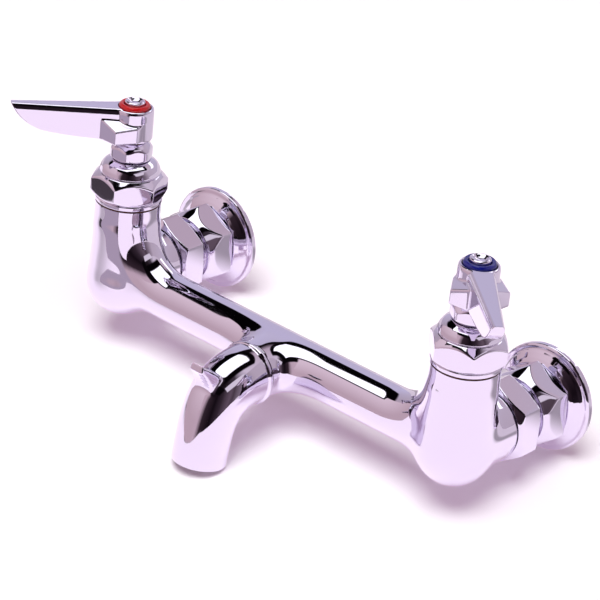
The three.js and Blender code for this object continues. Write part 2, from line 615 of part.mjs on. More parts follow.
function couplingNut() {
  const outside = hexagon(
    COUPLING_AF, COUPLING_BACK, COUPLING_FRONT, [HEX_END_R, 1.4], [HEX_END_R, 2.4]);
  const thread = rod(BRANCH_THREAD_R + FIT, COUPLING_BACK + COUPLING_WALL, COUPLING_FRONT + 1);
  const neckHole = rod(SHANK_R + FIT, COUPLING_BACK - 1, COUPLING_FRONT);
  return cut(outside, thread, neckHole).rotate([0, 0, COUPLING_TURN]);
}

function couplingWasher() {
  return tube(INLET_BORE_R + 1, BRANCH_THREAD_R - 0.4, BRANCH_NOSE - COUPLING_WASHER_T, BRANCH_NOSE);
}

function inletShank() {
  const front = BRANCH_NOSE - COUPLING_WASHER_T;
  const body = joined(
    rod(BRANCH_THREAD_R, front - SHANK_LAND_T, front),
    rod(SHANK_R, SHANK_HEX_FRONT, front - 0.5),
    rod(SHANK_NECK_R, SHANK_HEX_FRONT - 1, COUPLING_BACK - FIT, ROUND),
    hexagon(SHANK_AF, SHANK_HEX_BACK, SHANK_HEX_FRONT, [HEX_END_R, 1.2], [HEX_END_R, SHANK_CHAMFER])
      .rotate([0, 0, COUPLING_TURN]),
    rod(SHANK_TAIL_R, 0, SHANK_HEX_BACK + 1));
  return cut(body, rod(SHANK_BORE_R, -1, front + 1), rod(PIPE_BORE_R, -1, PIPE_BORE_DEPTH));
}

function wallFlange() {
  const inner = SHANK_TAIL_R + FIT;
  return turned([
    [inner, 0], [FLANGE_R, 0], [FLANGE_R, FLANGE_RIM], [FLANGE_R - 0.7, FLANGE_RIM + 0.8],
    [FLANGE_R - 2.6, FLANGE_RIM + 1.5], [FLANGE_R - 5.4, FLANGE_DEPTH - 1.4],
    [inner + 2, FLANGE_DEPTH], [inner, FLANGE_DEPTH],
  ], FLANGE_ROUND);
}

// ---- Assembly ----------------------------------------------------------------------------------

const faucet = new THREE.Group();
const bridgeLine = new THREE.Group();
bridgeLine.position.y = -AXIS_TO_WALL;
faucet.add(bridgeLine);

function add(parent, name, body, finish) {
  const mesh = new THREE.Mesh(geometryOf(body), new THREE.MeshStandardMaterial(FINISH[finish]));
  mesh.name = name;
  parent.add(mesh);
}

add(bridgeLine, 'faucet_body', faucetBody(), 'chrome');
add(bridgeLine, 'spout', spout(), 'chrome');
add(bridgeLine, 'spout_gasket', spoutGasket(), 'fibre');

const SIDES = [
  { side: 'hot', x: -CENTRES / 2, turn: HOT_BONNET_TURN, lever: HOT_LEVER, index: 'red' },
  { side: 'cold', x: CENTRES / 2, turn: COLD_BONNET_TURN, lever: COLD_LEVER, index: 'blue' },
];

for (const { side, x, turn, lever: pointing, index } of SIDES) {
  const valve = new THREE.Group();
  valve.position.x = x;
  bridgeLine.add(valve);
  add(valve, `${side}_bonnet_washer`, bonnetWasher(), 'fibre');
  add(valve, `${side}_bonnet`, bonnet(turn), 'chrome');
  add(valve, `${side}_packing_nut`, packingNut(), 'chrome');
  add(valve, `${side}_packing`, packing(), 'graphite');
  add(valve, `${side}_valve_seat`, valveSeat(), 'brass');
  add(valve, `${side}_seat_washer`, seatWasher(), 'rubber');
  add(valve, `${side}_washer_holder`, washerHolder(), 'brass');
  add(valve, `${side}_washer_screw`, washerScrew(), 'brass');

  const turning = new THREE.Group();
  turning.rotation.z = radians(pointing);
  valve.add(turning);
  add(turning, `${side}_spindle`, spindle(), 'brass');
  add(turning, `${side}_handle`, handle(), 'chrome');
  add(turning, `${side}_index_ring`, indexRing(), index);
  add(turning, `${side}_handle_screw`, handleScrew(), 'chrome');

  const inlet = new THREE.Group();
  inlet.position.x = x;
  inlet.rotation.x = Math.PI / 2;
  faucet.add(inlet);
  add(inlet, `${side}_coupling_nut`, couplingNut(), 'chrome');
  add(inlet, `${side}_coupling_washer`, couplingWasher(), 'fibre');
  add(inlet, `${side}_inlet_shank`, inletShank(), 'chrome');
  add(inlet, `${side}_wall_flange`, wallFlange(), 'chrome');
}

export default faucet;
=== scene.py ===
# %% [markdown]
# # A commercial wall faucet in polished chrome
#
# The real faucet is a brass casting with two lever-handled valves, a short elbow spout and two
# wall flanges, all buffed and chrome plated. A mirror surface shows every dent and facet, so the
# lesson is about getting clean, smooth forms, and about the studio that they reflect.
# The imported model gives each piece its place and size. Everything here is in its frame: +X along
# the bridge, +Y into the wall, +Z up.

# %% The frame
import json
import math

import bpy
import numpy as np
from mathutils import Matrix, Vector

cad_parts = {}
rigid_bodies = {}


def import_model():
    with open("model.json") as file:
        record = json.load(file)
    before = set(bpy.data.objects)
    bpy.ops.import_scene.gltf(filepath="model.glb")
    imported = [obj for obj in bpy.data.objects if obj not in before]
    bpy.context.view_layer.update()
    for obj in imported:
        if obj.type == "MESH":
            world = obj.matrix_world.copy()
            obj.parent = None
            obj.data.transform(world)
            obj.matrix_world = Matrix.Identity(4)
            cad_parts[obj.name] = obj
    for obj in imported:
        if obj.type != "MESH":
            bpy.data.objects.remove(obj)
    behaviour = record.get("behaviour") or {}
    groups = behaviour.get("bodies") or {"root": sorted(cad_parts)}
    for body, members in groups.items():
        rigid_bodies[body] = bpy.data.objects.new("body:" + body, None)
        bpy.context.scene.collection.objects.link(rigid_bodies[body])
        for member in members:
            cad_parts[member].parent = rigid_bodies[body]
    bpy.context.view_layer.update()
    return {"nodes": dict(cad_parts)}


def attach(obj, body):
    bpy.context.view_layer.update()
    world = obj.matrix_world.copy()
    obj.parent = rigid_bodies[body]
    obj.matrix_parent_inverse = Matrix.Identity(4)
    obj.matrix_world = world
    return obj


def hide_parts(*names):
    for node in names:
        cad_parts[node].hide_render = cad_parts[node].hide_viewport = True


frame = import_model()
MM = 0.001

# %% [markdown]
# ## The photograph's camera
#
# The product was shot with a long lens from the front right and from above, with the camera
# tipped a few degrees. Two measured points fix the view: where the lens stands, and the
# directions of its three axes.

# %% Camera
AZIMUTH, ELEVATION, ROLL = (math.radians(a) for a in (38.929, 26.801, -6.117))
CAMERA_PLACE = Vector((666.3, -881.3, 559.8)) * MM
FOCAL_LENGTH = 157.77  # mm on a sensor 36 mm wide


def camera_turn():
    back = Vector((
        math.sin(AZIMUTH) * math.cos(ELEVATION),
        -math.cos(AZIMUTH) * math.cos(ELEVATION),
        math.sin(ELEVATION),
    ))
    right = Vector((math.cos(AZIMUTH), math.sin(AZIMUTH), 0))
    level = Matrix((right, back.cross(right), back))
    return (Matrix.Rotation(ROLL, 3, "Z") @ level).transposed()


bpy.ops.object.camera_add(location=CAMERA_PLACE, rotation=camera_turn().to_euler())
camera = bpy.context.object
camera.name = "photo_camera"
camera.data.lens = FOCAL_LENGTH
camera.data.sensor_width = 36
camera.data.clip_start, camera.data.clip_end = 0.05, 20
bpy.context.scene.camera = camera
print("camera at", [round(v, 3) for v in camera.location])

# %% [markdown]
# ## Colours and shader nodes
#
# Colours are written as sRGB hex values, as a paint chart or an image editor gives them. Blender
# shades in linear light, so one function converts them. A second one adds a shader node, sets its
# values and links its inputs, which keeps each material a short recipe.


# %% Colour and node helpers
def linear(hex_colour):
    channels = [int(hex_colour[i:i + 2], 16) / 255 for i in (1, 3, 5)]
    return (*(c / 12.92 if c <= 0.04045 else ((c + 0.055) / 1.055) ** 2.4 for c in channels), 1)


def node(tree, kind, inputs=None, **settings):
    made = tree.nodes.new(kind)
    for key, value in settings.items():
        setattr(made, key, value)
    for key, value in (inputs or {}).items():
        if isinstance(value, bpy.types.NodeSocket):
            tree.links.new(value, made.inputs[key])
        else:
            made.inputs[key].default_value = value
    return made


def material(name):
    made = bpy.data.materials.new(name)
    made.use_nodes = True
    made.node_tree.nodes.clear()
    return made, made.node_tree


def finish_with(tree, shader):
    node(tree, "ShaderNodeOutputMaterial", {"Surface": shader.outputs[0]})


# %% [markdown]
# ## Chrome plate
#
# Decorative chrome is a very thin bright layer over buffed nickel and brass. It is almost a
# perfect mirror with a faint cool cast. Buffing by hand leaves the casting very slightly wavy,
# and handling leaves a breath of haze, so a little low bump and a patchy roughness keep it from
# looking like a computed mirror. The waves are about 25 mm long, the patches about 12 mm.


# %% Chrome
def chrome_plate():
    made, tree = material("buffed_chrome_plate")
    place = node(tree, "ShaderNodeTexCoord").outputs["Object"]
    haze = node(tree, "ShaderNodeTexNoise", {"Vector": place, "Scale": 80, "Detail": 4})
    rough = node(tree, "ShaderNodeMapRange", {
        "Value": haze.outputs["Fac"], "From Min": 0.3, "From Max": 0.7, "To Min": 0.02, "To Max": 0.055})
    waves = node(tree, "ShaderNodeTexNoise", {"Vector": place, "Scale": 40, "Detail": 1})
    bump = node(tree, "ShaderNodeBump", {
        "Height": waves.outputs["Fac"], "Strength": 0.03, "Distance": 0.2 * MM})
    finish_with(tree, node(tree, "ShaderNodeBsdfPrincipled", {
        "Base Color": linear("#D7D1E2"), "Metallic": 1, "Roughness": rough.outputs["Result"],
        "Normal": bump.outputs["Normal"]}))
    return made


CHROME = chrome_plate()

# %% [markdown]
# ## Moulded index rings
#
# The red and blue rings are injection-moulded ABS, coloured right through. Moulding gives them a smooth glossy skin
# with a clear highlight, and a fine grain mixes two tones of the colour at random.


# %% Ring plastics
def moulded_plastic(name, colour, deep_colour):
    made, tree = material(name)
    place = node(tree, "ShaderNodeTexCoord").outputs["Object"]
    grain = node(tree, "ShaderNodeTexNoise", {"Vector": place, "Scale": 900, "Detail": 3})
    shade = node(tree, "ShaderNodeMix", {
        "Factor": grain.outputs["Fac"], "A": linear(colour), "B": linear(deep_colour)}, data_type="RGBA")
    skin = node(tree, "ShaderNodeBump", {
        "Height": grain.outputs["Fac"], "Strength": 0.05, "Distance": 0.05 * MM})
    finish_with(tree, node(tree, "ShaderNodeBsdfPrincipled", {
        "Base Color": shade.outputs["Result"], "Roughness": 0.16, "IOR": 1.54,
        "Normal": skin.outputs["Normal"]}))
    return made


RED = moulded_plastic("moulded_red_abs", "#C80A12", "#A8060E")
BLUE = moulded_plastic("moulded_blue_abs", "#0C127C", "#080C62")

# %% [markdown]
# ## Brass, fibre, rubber and graphite
#
# Inside, the stem and seat are turned from free-cutting brass: the tool leaves fine rings round
# the axis, which show as a satin sheen. The flat washers are pressed red fibre with short
# strands in it, the seat washer is moulded rubber, and the packing is graphited cord.


# %% Inner materials
def turned_brass():
    made, tree = material("turned_brass")
    place = node(tree, "ShaderNodeTexCoord").outputs["Object"]
    rings = node(tree, "ShaderNodeTexWave", {
        "Vector": place, "Scale": 1500, "Distortion": 0.4, "Detail": 1}, bands_direction="Z")
    rough = node(tree, "ShaderNodeMapRange", {
        "Value": rings.outputs["Fac"], "To Min": 0.22, "To Max": 0.34})
    cut = node(tree, "ShaderNodeBump", {
        "Height": rings.outputs["Fac"], "Strength": 0.15, "Distance": 0.03 * MM})
    finish_with(tree, node(tree, "ShaderNodeBsdfPrincipled", {
        "Base Color": linear("#D9B36A"), "Metallic": 1, "Roughness": rough.outputs["Result"],
        "Normal": cut.outputs["Normal"]}))
    return made


def grained(name, colour, second_colour, scale, roughness, relief):
    made, tree = material(name)
    place = node(tree, "ShaderNodeTexCoord").outputs["Object"]
    grain = node(tree, "ShaderNodeTexNoise", {
        "Vector": place, "Scale": scale, "Detail": 5, "Roughness": 0.6})
    shade = node(tree, "ShaderNodeMix", {
        "Factor": grain.outputs["Fac"], "A": linear(colour), "B": linear(second_colour)},
        data_type="RGBA")
    bump = node(tree, "ShaderNodeBump", {
        "Height": grain.outputs["Fac"], "Strength": 0.5, "Distance": relief * MM})
    finish_with(tree, node(tree, "ShaderNodeBsdfPrincipled", {
        "Base Color": shade.outputs["Result"], "Roughness": roughness,
        "Normal": bump.outputs["Normal"]}))
    return made


BRASS = turned_brass()
FIBRE = grained("pressed_red_fibre", "#5E2A20", "#3E1A14", 1200, 0.8, 0.08)
RUBBER = grained("moulded_rubber", "#1E1D1F", "#141315", 600, 0.55, 0.03)
GRAPHITE = grained("graphited_packing", "#3A3B3E", "#222326", 1500, 0.6, 0.1)

# %% [markdown]
# ## Turned pieces: draw half the outline, then spin it
#
# Nuts, bonnets, flanges, rings and screws are lathe work. As on a lathe, half of the outline is
# drawn as a row of points and spun about the axis. Real turnings have no knife edges, so each
# corner of the outline can carry a small radius, and long runs are divided so that flats can be
# milled on them afterwards.


# %% Outlines
def rounded_outline(corners, step=0.9):
    """corners: (radius, height, corner radius) in mm, closed on itself unless both ends are on
    the axis. Returns points with arcs at the corners, none further apart than the step."""
    points = [Vector(c[:2]) for c in corners]
    open_ended = points[0].x == 0 and points[-1].x == 0
    outline = []
    for i, (here, corner) in enumerate(zip(points, corners)):
        radius = corner[2] if len(corner) > 2 else 0
        if radius == 0 or (open_ended and i in (0, len(points) - 1)):
            outline.append(here)
            continue
        into = (here - points[i - 1]).normalized()
        out = (points[(i + 1) % len(points)] - here).normalized()
        bend = math.acos(max(-1, min(1, into.dot(out))))
        run = radius * math.tan(bend / 2)
        turns = max(2, round(math.degrees(bend) / 15))
        inward = Vector((-into.y, into.x)) * (1 if into.cross(out) > 0 else -1)
        centre = here - into * run + inward * radius
        start = here - into * run - centre
        sweep = bend * (1 if into.cross(out) > 0 else -1)
        for k in range(turns + 1):
            outline.append(centre + Matrix.Rotation(sweep * k / turns, 2) @ start)
    divided = []
    last = len(outline) - 1 if open_ended else len(outline)
    for i in range(last):
        a, b = outline[i], outline[(i + 1) % len(outline)]
        pieces = max(1, math.ceil((b - a).length / step))
        divided += [a.lerp(b, k / pieces) for k in range(pieces)]
    if open_ended:
        divided.append(outline[-1])
    return divided, open_ended


def object_mode():
    if bpy.context.object and bpy.context.object.mode != "OBJECT":
        bpy.ops.object.mode_set(mode="OBJECT")


def pick(*objects):
    object_mode()
    bpy.ops.object.select_all(action="DESELECT")
    for one in objects:
        one.select_set(True)
        bpy.context.view_layer.objects.active = one


# %% Spinning
def spun(name, corners, sides=128, step=0.9):
    outline, open_ended = rounded_outline(corners, step)
    pick()
    bpy.ops.mesh.primitive_plane_add(size=1 * MM)
    piece = bpy.context.object
    piece.name = name
    bpy.ops.object.mode_set(mode="EDIT")
    bpy.ops.mesh.select_mode(type="VERT")
    bpy.ops.mesh.select_all(action="SELECT")
    bpy.ops.mesh.merge(type="CENTER")
    first = outline[0]
    bpy.ops.transform.translate(value=(first.x * MM, 0, first.y * MM))
    for a, b in zip(outline, outline[1:] + ([] if open_ended else [outline[0]])):
        bpy.ops.mesh.extrude_region_move(
            TRANSFORM_OT_translate={"value": ((b.x - a.x) * MM, 0, (b.y - a.y) * MM)})
    bpy.ops.mesh.select_all(action="SELECT")
    bpy.ops.mesh.remove_doubles(threshold=0.0001 * MM)
    bpy.ops.mesh.spin(steps=sides, angle=2 * math.pi, center=(0, 0, 0), axis=(0, 0, 1))
    bpy.ops.mesh.select_all(action="SELECT")
    bpy.ops.mesh.remove_doubles(threshold=0.001 * MM)
    bpy.ops.mesh.normals_make_consistent(inside=False)
    bpy.ops.object.mode_set(mode="OBJECT")
    return piece


def points_of(piece):
    flat = np.empty(len(piece.data.vertices) * 3)
    piece.data.vertices.foreach_get("co", flat)
    return flat.reshape(-1, 3) / MM


def set_points(piece, points):
    piece.data.vertices.foreach_set("co", (points * MM).ravel())
    piece.data.update()


# %% [markdown]
# ## Blends between surfaces
#
# A buffed edge is the meeting of two surfaces with a small radius between them. The same is true
# of a casting, where a big radius fills the corner between two pipes. Both can be written as a
# soft minimum: far from the meeting it is simply the smaller of the two distances, and close to
# it the result eases from one to the other.


# %% Soft minimum, and milling flats
def soft_min(a, b, reach):
    h = np.clip(reach - np.abs(a - b), 0, None) / reach
    return np.minimum(a, b) - h ** 3 * reach / 6


def soft_max(a, b, reach):
    return -soft_min(-a, -b, reach)


def ease(value, low, high):
    t = np.clip((value - low) / (high - low), 0, 1)
    return t * t * t * (t * (6 * t - 15) + 10)


def mill_hexagon(piece, across_flats, low, high, edge=0.7):
    """Presses the turned blank in to six flats between two heights, its corners on +X and on."""
    points = points_of(piece)
    radius = np.hypot(points[:, 0], points[:, 1])
    angle = np.arctan2(points[:, 1], points[:, 0])
    from_flat = (angle % (math.pi / 3)) - math.pi / 6
    flat = across_flats / 2 / np.cos(from_flat)
    milled = (points[:, 2] > low) & (points[:, 2] < high) & (radius > across_flats / 2 - 2)
    target = np.where(milled, soft_min(radius, flat, edge), radius)
    share = np.where(radius > 0, target / np.maximum(radius, 1e-9), 1)
    points[:, :2] *= share[:, None]
    set_points(piece, points)


# %% [markdown]
# ## Cast pieces: rough blocks, remeshed, then settled on a formula
#
# The body, the spout and the handles are castings whose forms run into one another. Joining them
# with hard cuts would leave seams that chrome shows at once. So each is roughed out from simple
# solids, remeshed into one even skin, and then every point of the skin is moved along the slope
# of a distance formula until it lies exactly on the cast form, fillets included. A second remesh
# evens out what the first move stretched.


# %% Remesh and settle
def remesh(piece, size):
    pick(piece)
    piece.data.remesh_voxel_size = size * MM
    piece.data.remesh_voxel_adaptivity = 0
    bpy.ops.object.voxel_remesh()


def keep_outer_skin(piece):
    """Drops the small bubbles that a remesh can leave where solids overlap."""
    pick(piece)
    height = points_of(piece)[:, 2]
    for vertex in piece.data.vertices:
        vertex.select = vertex.index == int(height.argmax())
    bpy.ops.object.mode_set(mode="EDIT")
    bpy.ops.mesh.select_mode(type="VERT")
    bpy.ops.mesh.select_linked()
    bpy.ops.mesh.select_all(action="INVERT")
    bpy.ops.mesh.delete(type="VERT")
    bpy.ops.object.mode_set(mode="OBJECT")


def slope(field, points, reach=0.02):
    parts = []
    for axis in range(3):
        shift = np.zeros(3)
        shift[axis] = reach
        parts.append((field(points + shift) - field(points - shift)) / (2 * reach))
    return np.stack(parts, 1)


def settle(piece, field, rounds=4, most=1.5):
    points = points_of(piece)
    for _ in range(rounds):
        distance = field(points)
        fall = slope(field, points)
        size = np.maximum((fall ** 2).sum(1), 0.05)
        move = -(distance / size)[:, None] * fall
        length = np.maximum(np.linalg.norm(move, axis=1), 1e-9)
        points = points + move * np.minimum(1, most / length)[:, None]
    set_points(piece, points)
    return float(np.abs(field(points)).max())


def rub(piece, rounds):
    """Buffing: each round moves every point halfway to the middle of its neighbours."""
    pick(piece)
    bpy.ops.object.mode_set(mode="EDIT")
    bpy.ops.mesh.select_all(action="SELECT")
    bpy.ops.mesh.vertices_smooth(factor=0.5, repeat=rounds)
    bpy.ops.object.mode_set(mode="OBJECT")


def cast(name, rough, field, sizes, place=None, buffing=0):
    """Rough solids become one skin on the formula. The last size is the finest mesh."""
    pick(*rough)
    bpy.ops.object.join()
    piece = bpy.context.object
    piece.name = name
    for size in sizes:
        remesh(piece, size)
        keep_outer_skin(piece)
        left = settle(piece, field, rounds=6 if size == sizes[-1] else 4, most=size)
    if buffing:
        rub(piece, buffing)
    if place is not None:
        piece.data.transform(place)
    print(f"{name}: {len(piece.data.vertices)} points, furthest from the form {left:.3f} mm")
    return piece


def shade(piece, sharp_angle=40):
    pick(piece)
    bpy.ops.object.shade_smooth_by_angle(angle=math.radians(sharp_angle))


def dress(piece, finish, slot_name, body, *nodes):
    """Gives a finished piece its material and its body, and hides the CAD nodes that it stands for."""
    piece.data.materials.clear()
    piece.data.materials.append(finish)
    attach(piece, body)
    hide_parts(*nodes)


# %% [markdown]
# ## The cast body
#
# One casting carries both valves. Each end is a bent pipe that rises into the valve column, with
# a round bulb under the bend and an inlet branch behind. In the middle the bridge swings forward
# into the neck that holds the spout. The fillets grow towards the bottom of the columns, where
# the bridge runs out into the bulb.

# %% Sizes of the casting, in mm, with the bridge axis at the origin
AXIS_TO_WALL = 66.0
HALF_CENTRES = 101.6
BRIDGE_R = 11.5
COLUMN_R, COLUMN_TOP = 15.5, 38.5
BULB_R, BULB_Z, BULB_DEPTH = 16.5, -3.0, 17.0
BEND_R = 35.5
NECK_R, NECK_END, NECK_Z = 12.9, 19.8, -2.5
NECK_FLARE = 32.0
BRANCH_R, BRANCH_END = 16.4, 23.2
NOSE_R, NOSE_END = 14.0, 31.7
# From the bridge at +X round to the neck's rim.
NECK_CURVE = ((NECK_FLARE, 0, 0), (0.45 * NECK_FLARE, 0, 0),
              (0, -0.2 * NECK_END, NECK_Z), (0, 1 - NECK_END, NECK_Z))


def curve_points(start, pull_a, pull_b, end, share):
    s = share[:, None]
    return ((1 - s) ** 3 * start + 3 * s * (1 - s) ** 2 * pull_a
            + 3 * s ** 2 * (1 - s) * pull_b + s ** 3 * end)


def pipe_distance(points, controls, start_r, end_r, samples=48):
    """Distance to a pipe along a curve whose radius eases from one end to the other."""
    controls = [np.array(c, float) for c in controls]
    shares = np.linspace(0, 1, samples)
    middle = curve_points(*controls, shares)
    best = np.full(len(points), 1e9)
    near = np.zeros(len(points))
    for share, centre in zip(shares, middle):
        reach = ((points - centre) ** 2).sum(1)
        closer = reach < best
        best[closer], near[closer] = reach[closer], share
    width = 1 / (samples - 1)
    for _ in range(12):
        for way in (-1, 1):
            tried = np.clip(near + way * width, 0, 1)
            reach = ((points - curve_points(*controls, tried)) ** 2).sum(1)
            closer = reach < best
            best = np.where(closer, reach, best)
            near = np.where(closer, tried, near)
        width /= 2
    return np.sqrt(best) - (start_r + (end_r - start_r) * ease(near, 0, 1))


# %% The casting's formula
def column_distance(x, y, z):
    out = np.hypot(x - HALF_CENTRES, y)
    radius = COLUMN_R + (BULB_R - COLUMN_R) * (1 - ease(z, BULB_Z, BULB_Z + 32))
    low_z = np.minimum(z - BULB_Z, 0)
    k0 = np.hypot(out / BULB_R, low_z / BULB_DEPTH)
    k1 = np.maximum(np.hypot(out / BULB_R ** 2, low_z / BULB_DEPTH ** 2), 1e-6)
    bulb = k0 * (k0 - 1) / k1
    return np.where(z > BULB_Z, out - radius, bulb)


def bend_distance(x, y, z):
    across, up = x - (HALF_CENTRES - BEND_R), z - BEND_R
    turn = np.clip(np.arctan2(-up, across), 0, math.pi / 2)
    turn = np.where((across < 0) & (up > 0), np.where(across + up > 0, 0, math.pi / 2), turn)
    gap = np.sqrt((across - BEND_R * np.cos(turn)) ** 2 + (up + BEND_R * np.sin(turn)) ** 2 + y ** 2)
    return gap - (13.6 + (BRIDGE_R - 13.6) * ease(turn, 0, math.pi / 2))


def body_distance(points):
    x, y, z = np.abs(points[:, 0]), points[:, 1], points[:, 2]
    bridge = np.sqrt(np.maximum(x - HALF_CENTRES, 0) ** 2 + y ** 2 + z ** 2) - BRIDGE_R
    pipe = soft_min(bridge, bend_distance(x, y, z), 0.02 + 3 * ease(x, HALF_CENTRES - BEND_R, HALF_CENTRES - 8))
    low_down = 1 - ease(z, -6, 12)
    near_rim = ease(z, 26, 36)
    reach = 7 + 7 * low_down - 6 * near_rim
    whole = soft_min(pipe, column_distance(x, y, z), reach)
    behind = np.minimum(y - 9, 0)
    branch = np.sqrt((x - HALF_CENTRES) ** 2 + z ** 2 + behind ** 2) - BRANCH_R
    whole = soft_min(whole, branch, 5.0)
    middle = x < NECK_FLARE + 22
    near = np.stack([x[middle], y[middle], z[middle]], 1)
    mirrored = near * [-1, 1, 1]
    flare = soft_min(
        pipe_distance(near, NECK_CURVE, BRIDGE_R, NECK_R - 0.1),
        pipe_distance(mirrored, NECK_CURVE, BRIDGE_R, NECK_R - 0.1), 6.0)
    inner = np.maximum(near[:, 1] + 9, 0)
    neck = np.sqrt(near[:, 0] ** 2 + (near[:, 2] - NECK_Z) ** 2 + inner ** 2) - NECK_R
    leaving = 0.02 + 2 * (1 - ease(near[:, 0], 6, NECK_FLARE))
    whole[middle] = soft_min(soft_min(whole[middle], flare, leaving), neck, 1.5)
    beyond = np.maximum(np.maximum(z - COLUMN_TOP, y - BRANCH_END), -y - NECK_END) - 3
    return soft_max(whole, beyond, 1.0)


# %% Roughing out the casting
def rough_rod(radius, start, end, sides=48):
    start, end = Vector(start), Vector(end)
    bpy.ops.mesh.primitive_cylinder_add(
        vertices=sides, radius=radius * MM, depth=(end - start).length * MM,
        location=(start + end) / 2 * MM,
        rotation=(end - start).to_track_quat("Z", "Y").to_euler())
    bpy.ops.object.transform_apply()
    return bpy.context.object


def rough_pipe(controls, radius):
    """A pipe bent along a Bezier curve."""
    bpy.ops.curve.primitive_bezier_curve_add(enter_editmode=False)
    pipe = bpy.context.object
    pipe.data.dimensions = "3D"
    pipe.data.bevel_depth = radius * MM
    pipe.data.bevel_resolution = 8
    pipe.data.use_fill_caps = True
    first, last = pipe.data.splines[0].bezier_points
    start, pull_a, pull_b, end = (Vector(p) * MM for p in controls)
    for point, here, before, after in (
            (first, start, start * 2 - pull_a, pull_a), (last, end, pull_b, end * 2 - pull_b)):
        point.handle_left_type = point.handle_right_type = "FREE"
        point.co, point.handle_left, point.handle_right = here, before, after
    pick(pipe)
    bpy.ops.object.convert(target="MESH")
    return bpy.context.object


def rough_body():
    rough = [rough_rod(BRIDGE_R, (-HALF_CENTRES, 0, 0), (HALF_CENTRES, 0, 0)),
             rough_rod(NECK_R, (0, 0, NECK_Z), (0, -NECK_END - 4, NECK_Z))]
    inner = HALF_CENTRES - BEND_R
    pull = BEND_R * 0.552
    for side in (-1, 1):
        x = side * HALF_CENTRES
        bend = [(x, 0, BEND_R), (x, 0, BEND_R - pull), (side * (inner + pull), 0, 0), (side * inner, 0, 0)]
        flare = [(side * p[0], *p[1:]) for p in NECK_CURVE]
        rough += [rough_rod(COLUMN_R, (x, 0, -6), (x, 0, COLUMN_TOP + 4)),
                  rough_rod(BRANCH_R, (x, 4, 0), (x, BRANCH_END + 4, 0)),
                  rough_pipe(bend, 12.6), rough_pipe(flare, 12)]
        bpy.ops.mesh.primitive_uv_sphere_add(
            segments=40, ring_count=24, radius=BULB_R * MM, location=(x * MM, 0, BULB_Z * MM))
        bpy.ops.object.transform_apply()
        rough.append(bpy.context.object)
    return rough


pick()
body_piece = cast("cast_body", rough_body(), body_distance, (1.6, 0.95), buffing=10)

# %% [markdown]
# The machine shop then faces off the column rims, the neck and the inlet branches. A bisect does
# the same: it cuts the skin on a plane, throws away what is beyond it and fills the cut. The
# fresh rim gets a small bevel, as a file gives it.


# %% Facing off
def face_off(piece, place, outward, rim=0.45, only=None):
    """Cuts the piece on a plane, where the mask allows, and bevels the new rim."""
    place, outward = Vector(place), Vector(outward).normalized()
    pick(piece)
    bpy.ops.object.mode_set(mode="EDIT")
    bpy.ops.mesh.select_mode(type="VERT")
    bpy.ops.mesh.select_all(action="DESELECT")
    bpy.ops.object.mode_set(mode="OBJECT")
    for vertex in piece.data.vertices:
        vertex.select = only is None or only(vertex.co / MM)
    bpy.ops.object.mode_set(mode="EDIT")
    bpy.ops.mesh.select_mode(type="FACE")
    bpy.ops.mesh.bisect(
        plane_co=place * MM, plane_no=outward, use_fill=True, clear_outer=True, threshold=0.0005 * MM)
    bpy.ops.object.mode_set(mode="OBJECT")
    for edge in piece.data.edges:
        edge.select = False
    for face in piece.data.polygons:
        face.select = False
    for vertex in piece.data.vertices:
        vertex.select = False
    caps = [face for face in piece.data.polygons
            if abs((face.center / MM - place).dot(outward)) < 0.01 and face.normal.dot(outward) > 0.99
            and len(face.vertices) > 12]
    for face in caps:
        face.select = True
    if rim and caps:
        bpy.ops.object.mode_set(mode="EDIT")
        bpy.ops.mesh.select_mode(type="FACE")
        bpy.ops.mesh.region_to_loop()
        bpy.ops.mesh.bevel(offset=rim * MM, segments=3, affect="EDGES", clamp_overlap=True)
        bpy.ops.object.mode_set(mode="OBJECT")
    return len(caps)


print("neck faced:", face_off(body_piece, (0, -NECK_END, 0), (0, -1, 0), 0.5, lambda p: abs(p.x) < 40))
for side in (-1, 1):
    print("column faced:", face_off(
        body_piece, (0, 0, COLUMN_TOP), (0, 0, 1), 0.5, lambda p: p.x * side > 70))
    print("branch faced:", face_off(
        body_piece, (0, BRANCH_END, 0), (0, 1, 0), 1.0, lambda p: p.x * side > 70))

# %% [markdown]
# Each branch ends in a threaded nose that disappears into its coupling nut. It is turned as a
# tube with the thread's crests cut in, and joined to the casting.

# %% Threaded noses
THREAD_STEP = 1.8


def thread(low, high, crest, depth, step=THREAD_STEP, inwards=False):
    """Corners of a row of V-shaped thread crests between two heights."""
    count = int((high - low) / step)
    root = crest + depth if inwards else crest - depth
    corners = []
    for i in range(count):
        corners += [(crest, low + i * step, 0.12), (root, low + (i + 0.5) * step, 0.12)]
    return [*corners, (crest, low + count * step, 0.12)]


STAND_UPRIGHT = Matrix.Rotation(math.radians(-90), 4, "X")  # turns +Z into +Y, into the wall


def branch_nose(x):
    nose = spun(f"nose_{x:.0f}", [
        (8.0, BRANCH_END - 6), (NOSE_R, BRANCH_END - 6), *thread(BRANCH_END + 0.8, NOSE_END - 1, NOSE_R, 0.9),
        (NOSE_R - 0.8, NOSE_END, 0.2), (8.0, NOSE_END, 0.4)], sides=96, step=3)
    nose.data.transform(Matrix.Translation(Vector((x * MM, 0, 0))) @ STAND_UPRIGHT)
    return nose


noses = [branch_nose(side * HALF_CENTRES) for side in (-1, 1)]
pick(*noses, body_piece)
bpy.ops.object.join()
body_piece.data.transform(Matrix.Translation((0, -AXIS_TO_WALL * MM, 0)))
shade(body_piece)
dress(body_piece, CHROME, "chrome", "faucet", "faucet_body")

# %% [markdown]
# ## The spout
#
# The spout is a short elbow with a rounded shoulder ring that seats against the neck, and a pail
# hook cast on top: a little plate that leans forward, hollowed underneath so that a bail can't
# slip off. The outlet is a plain rounded rim over a smooth waterway.

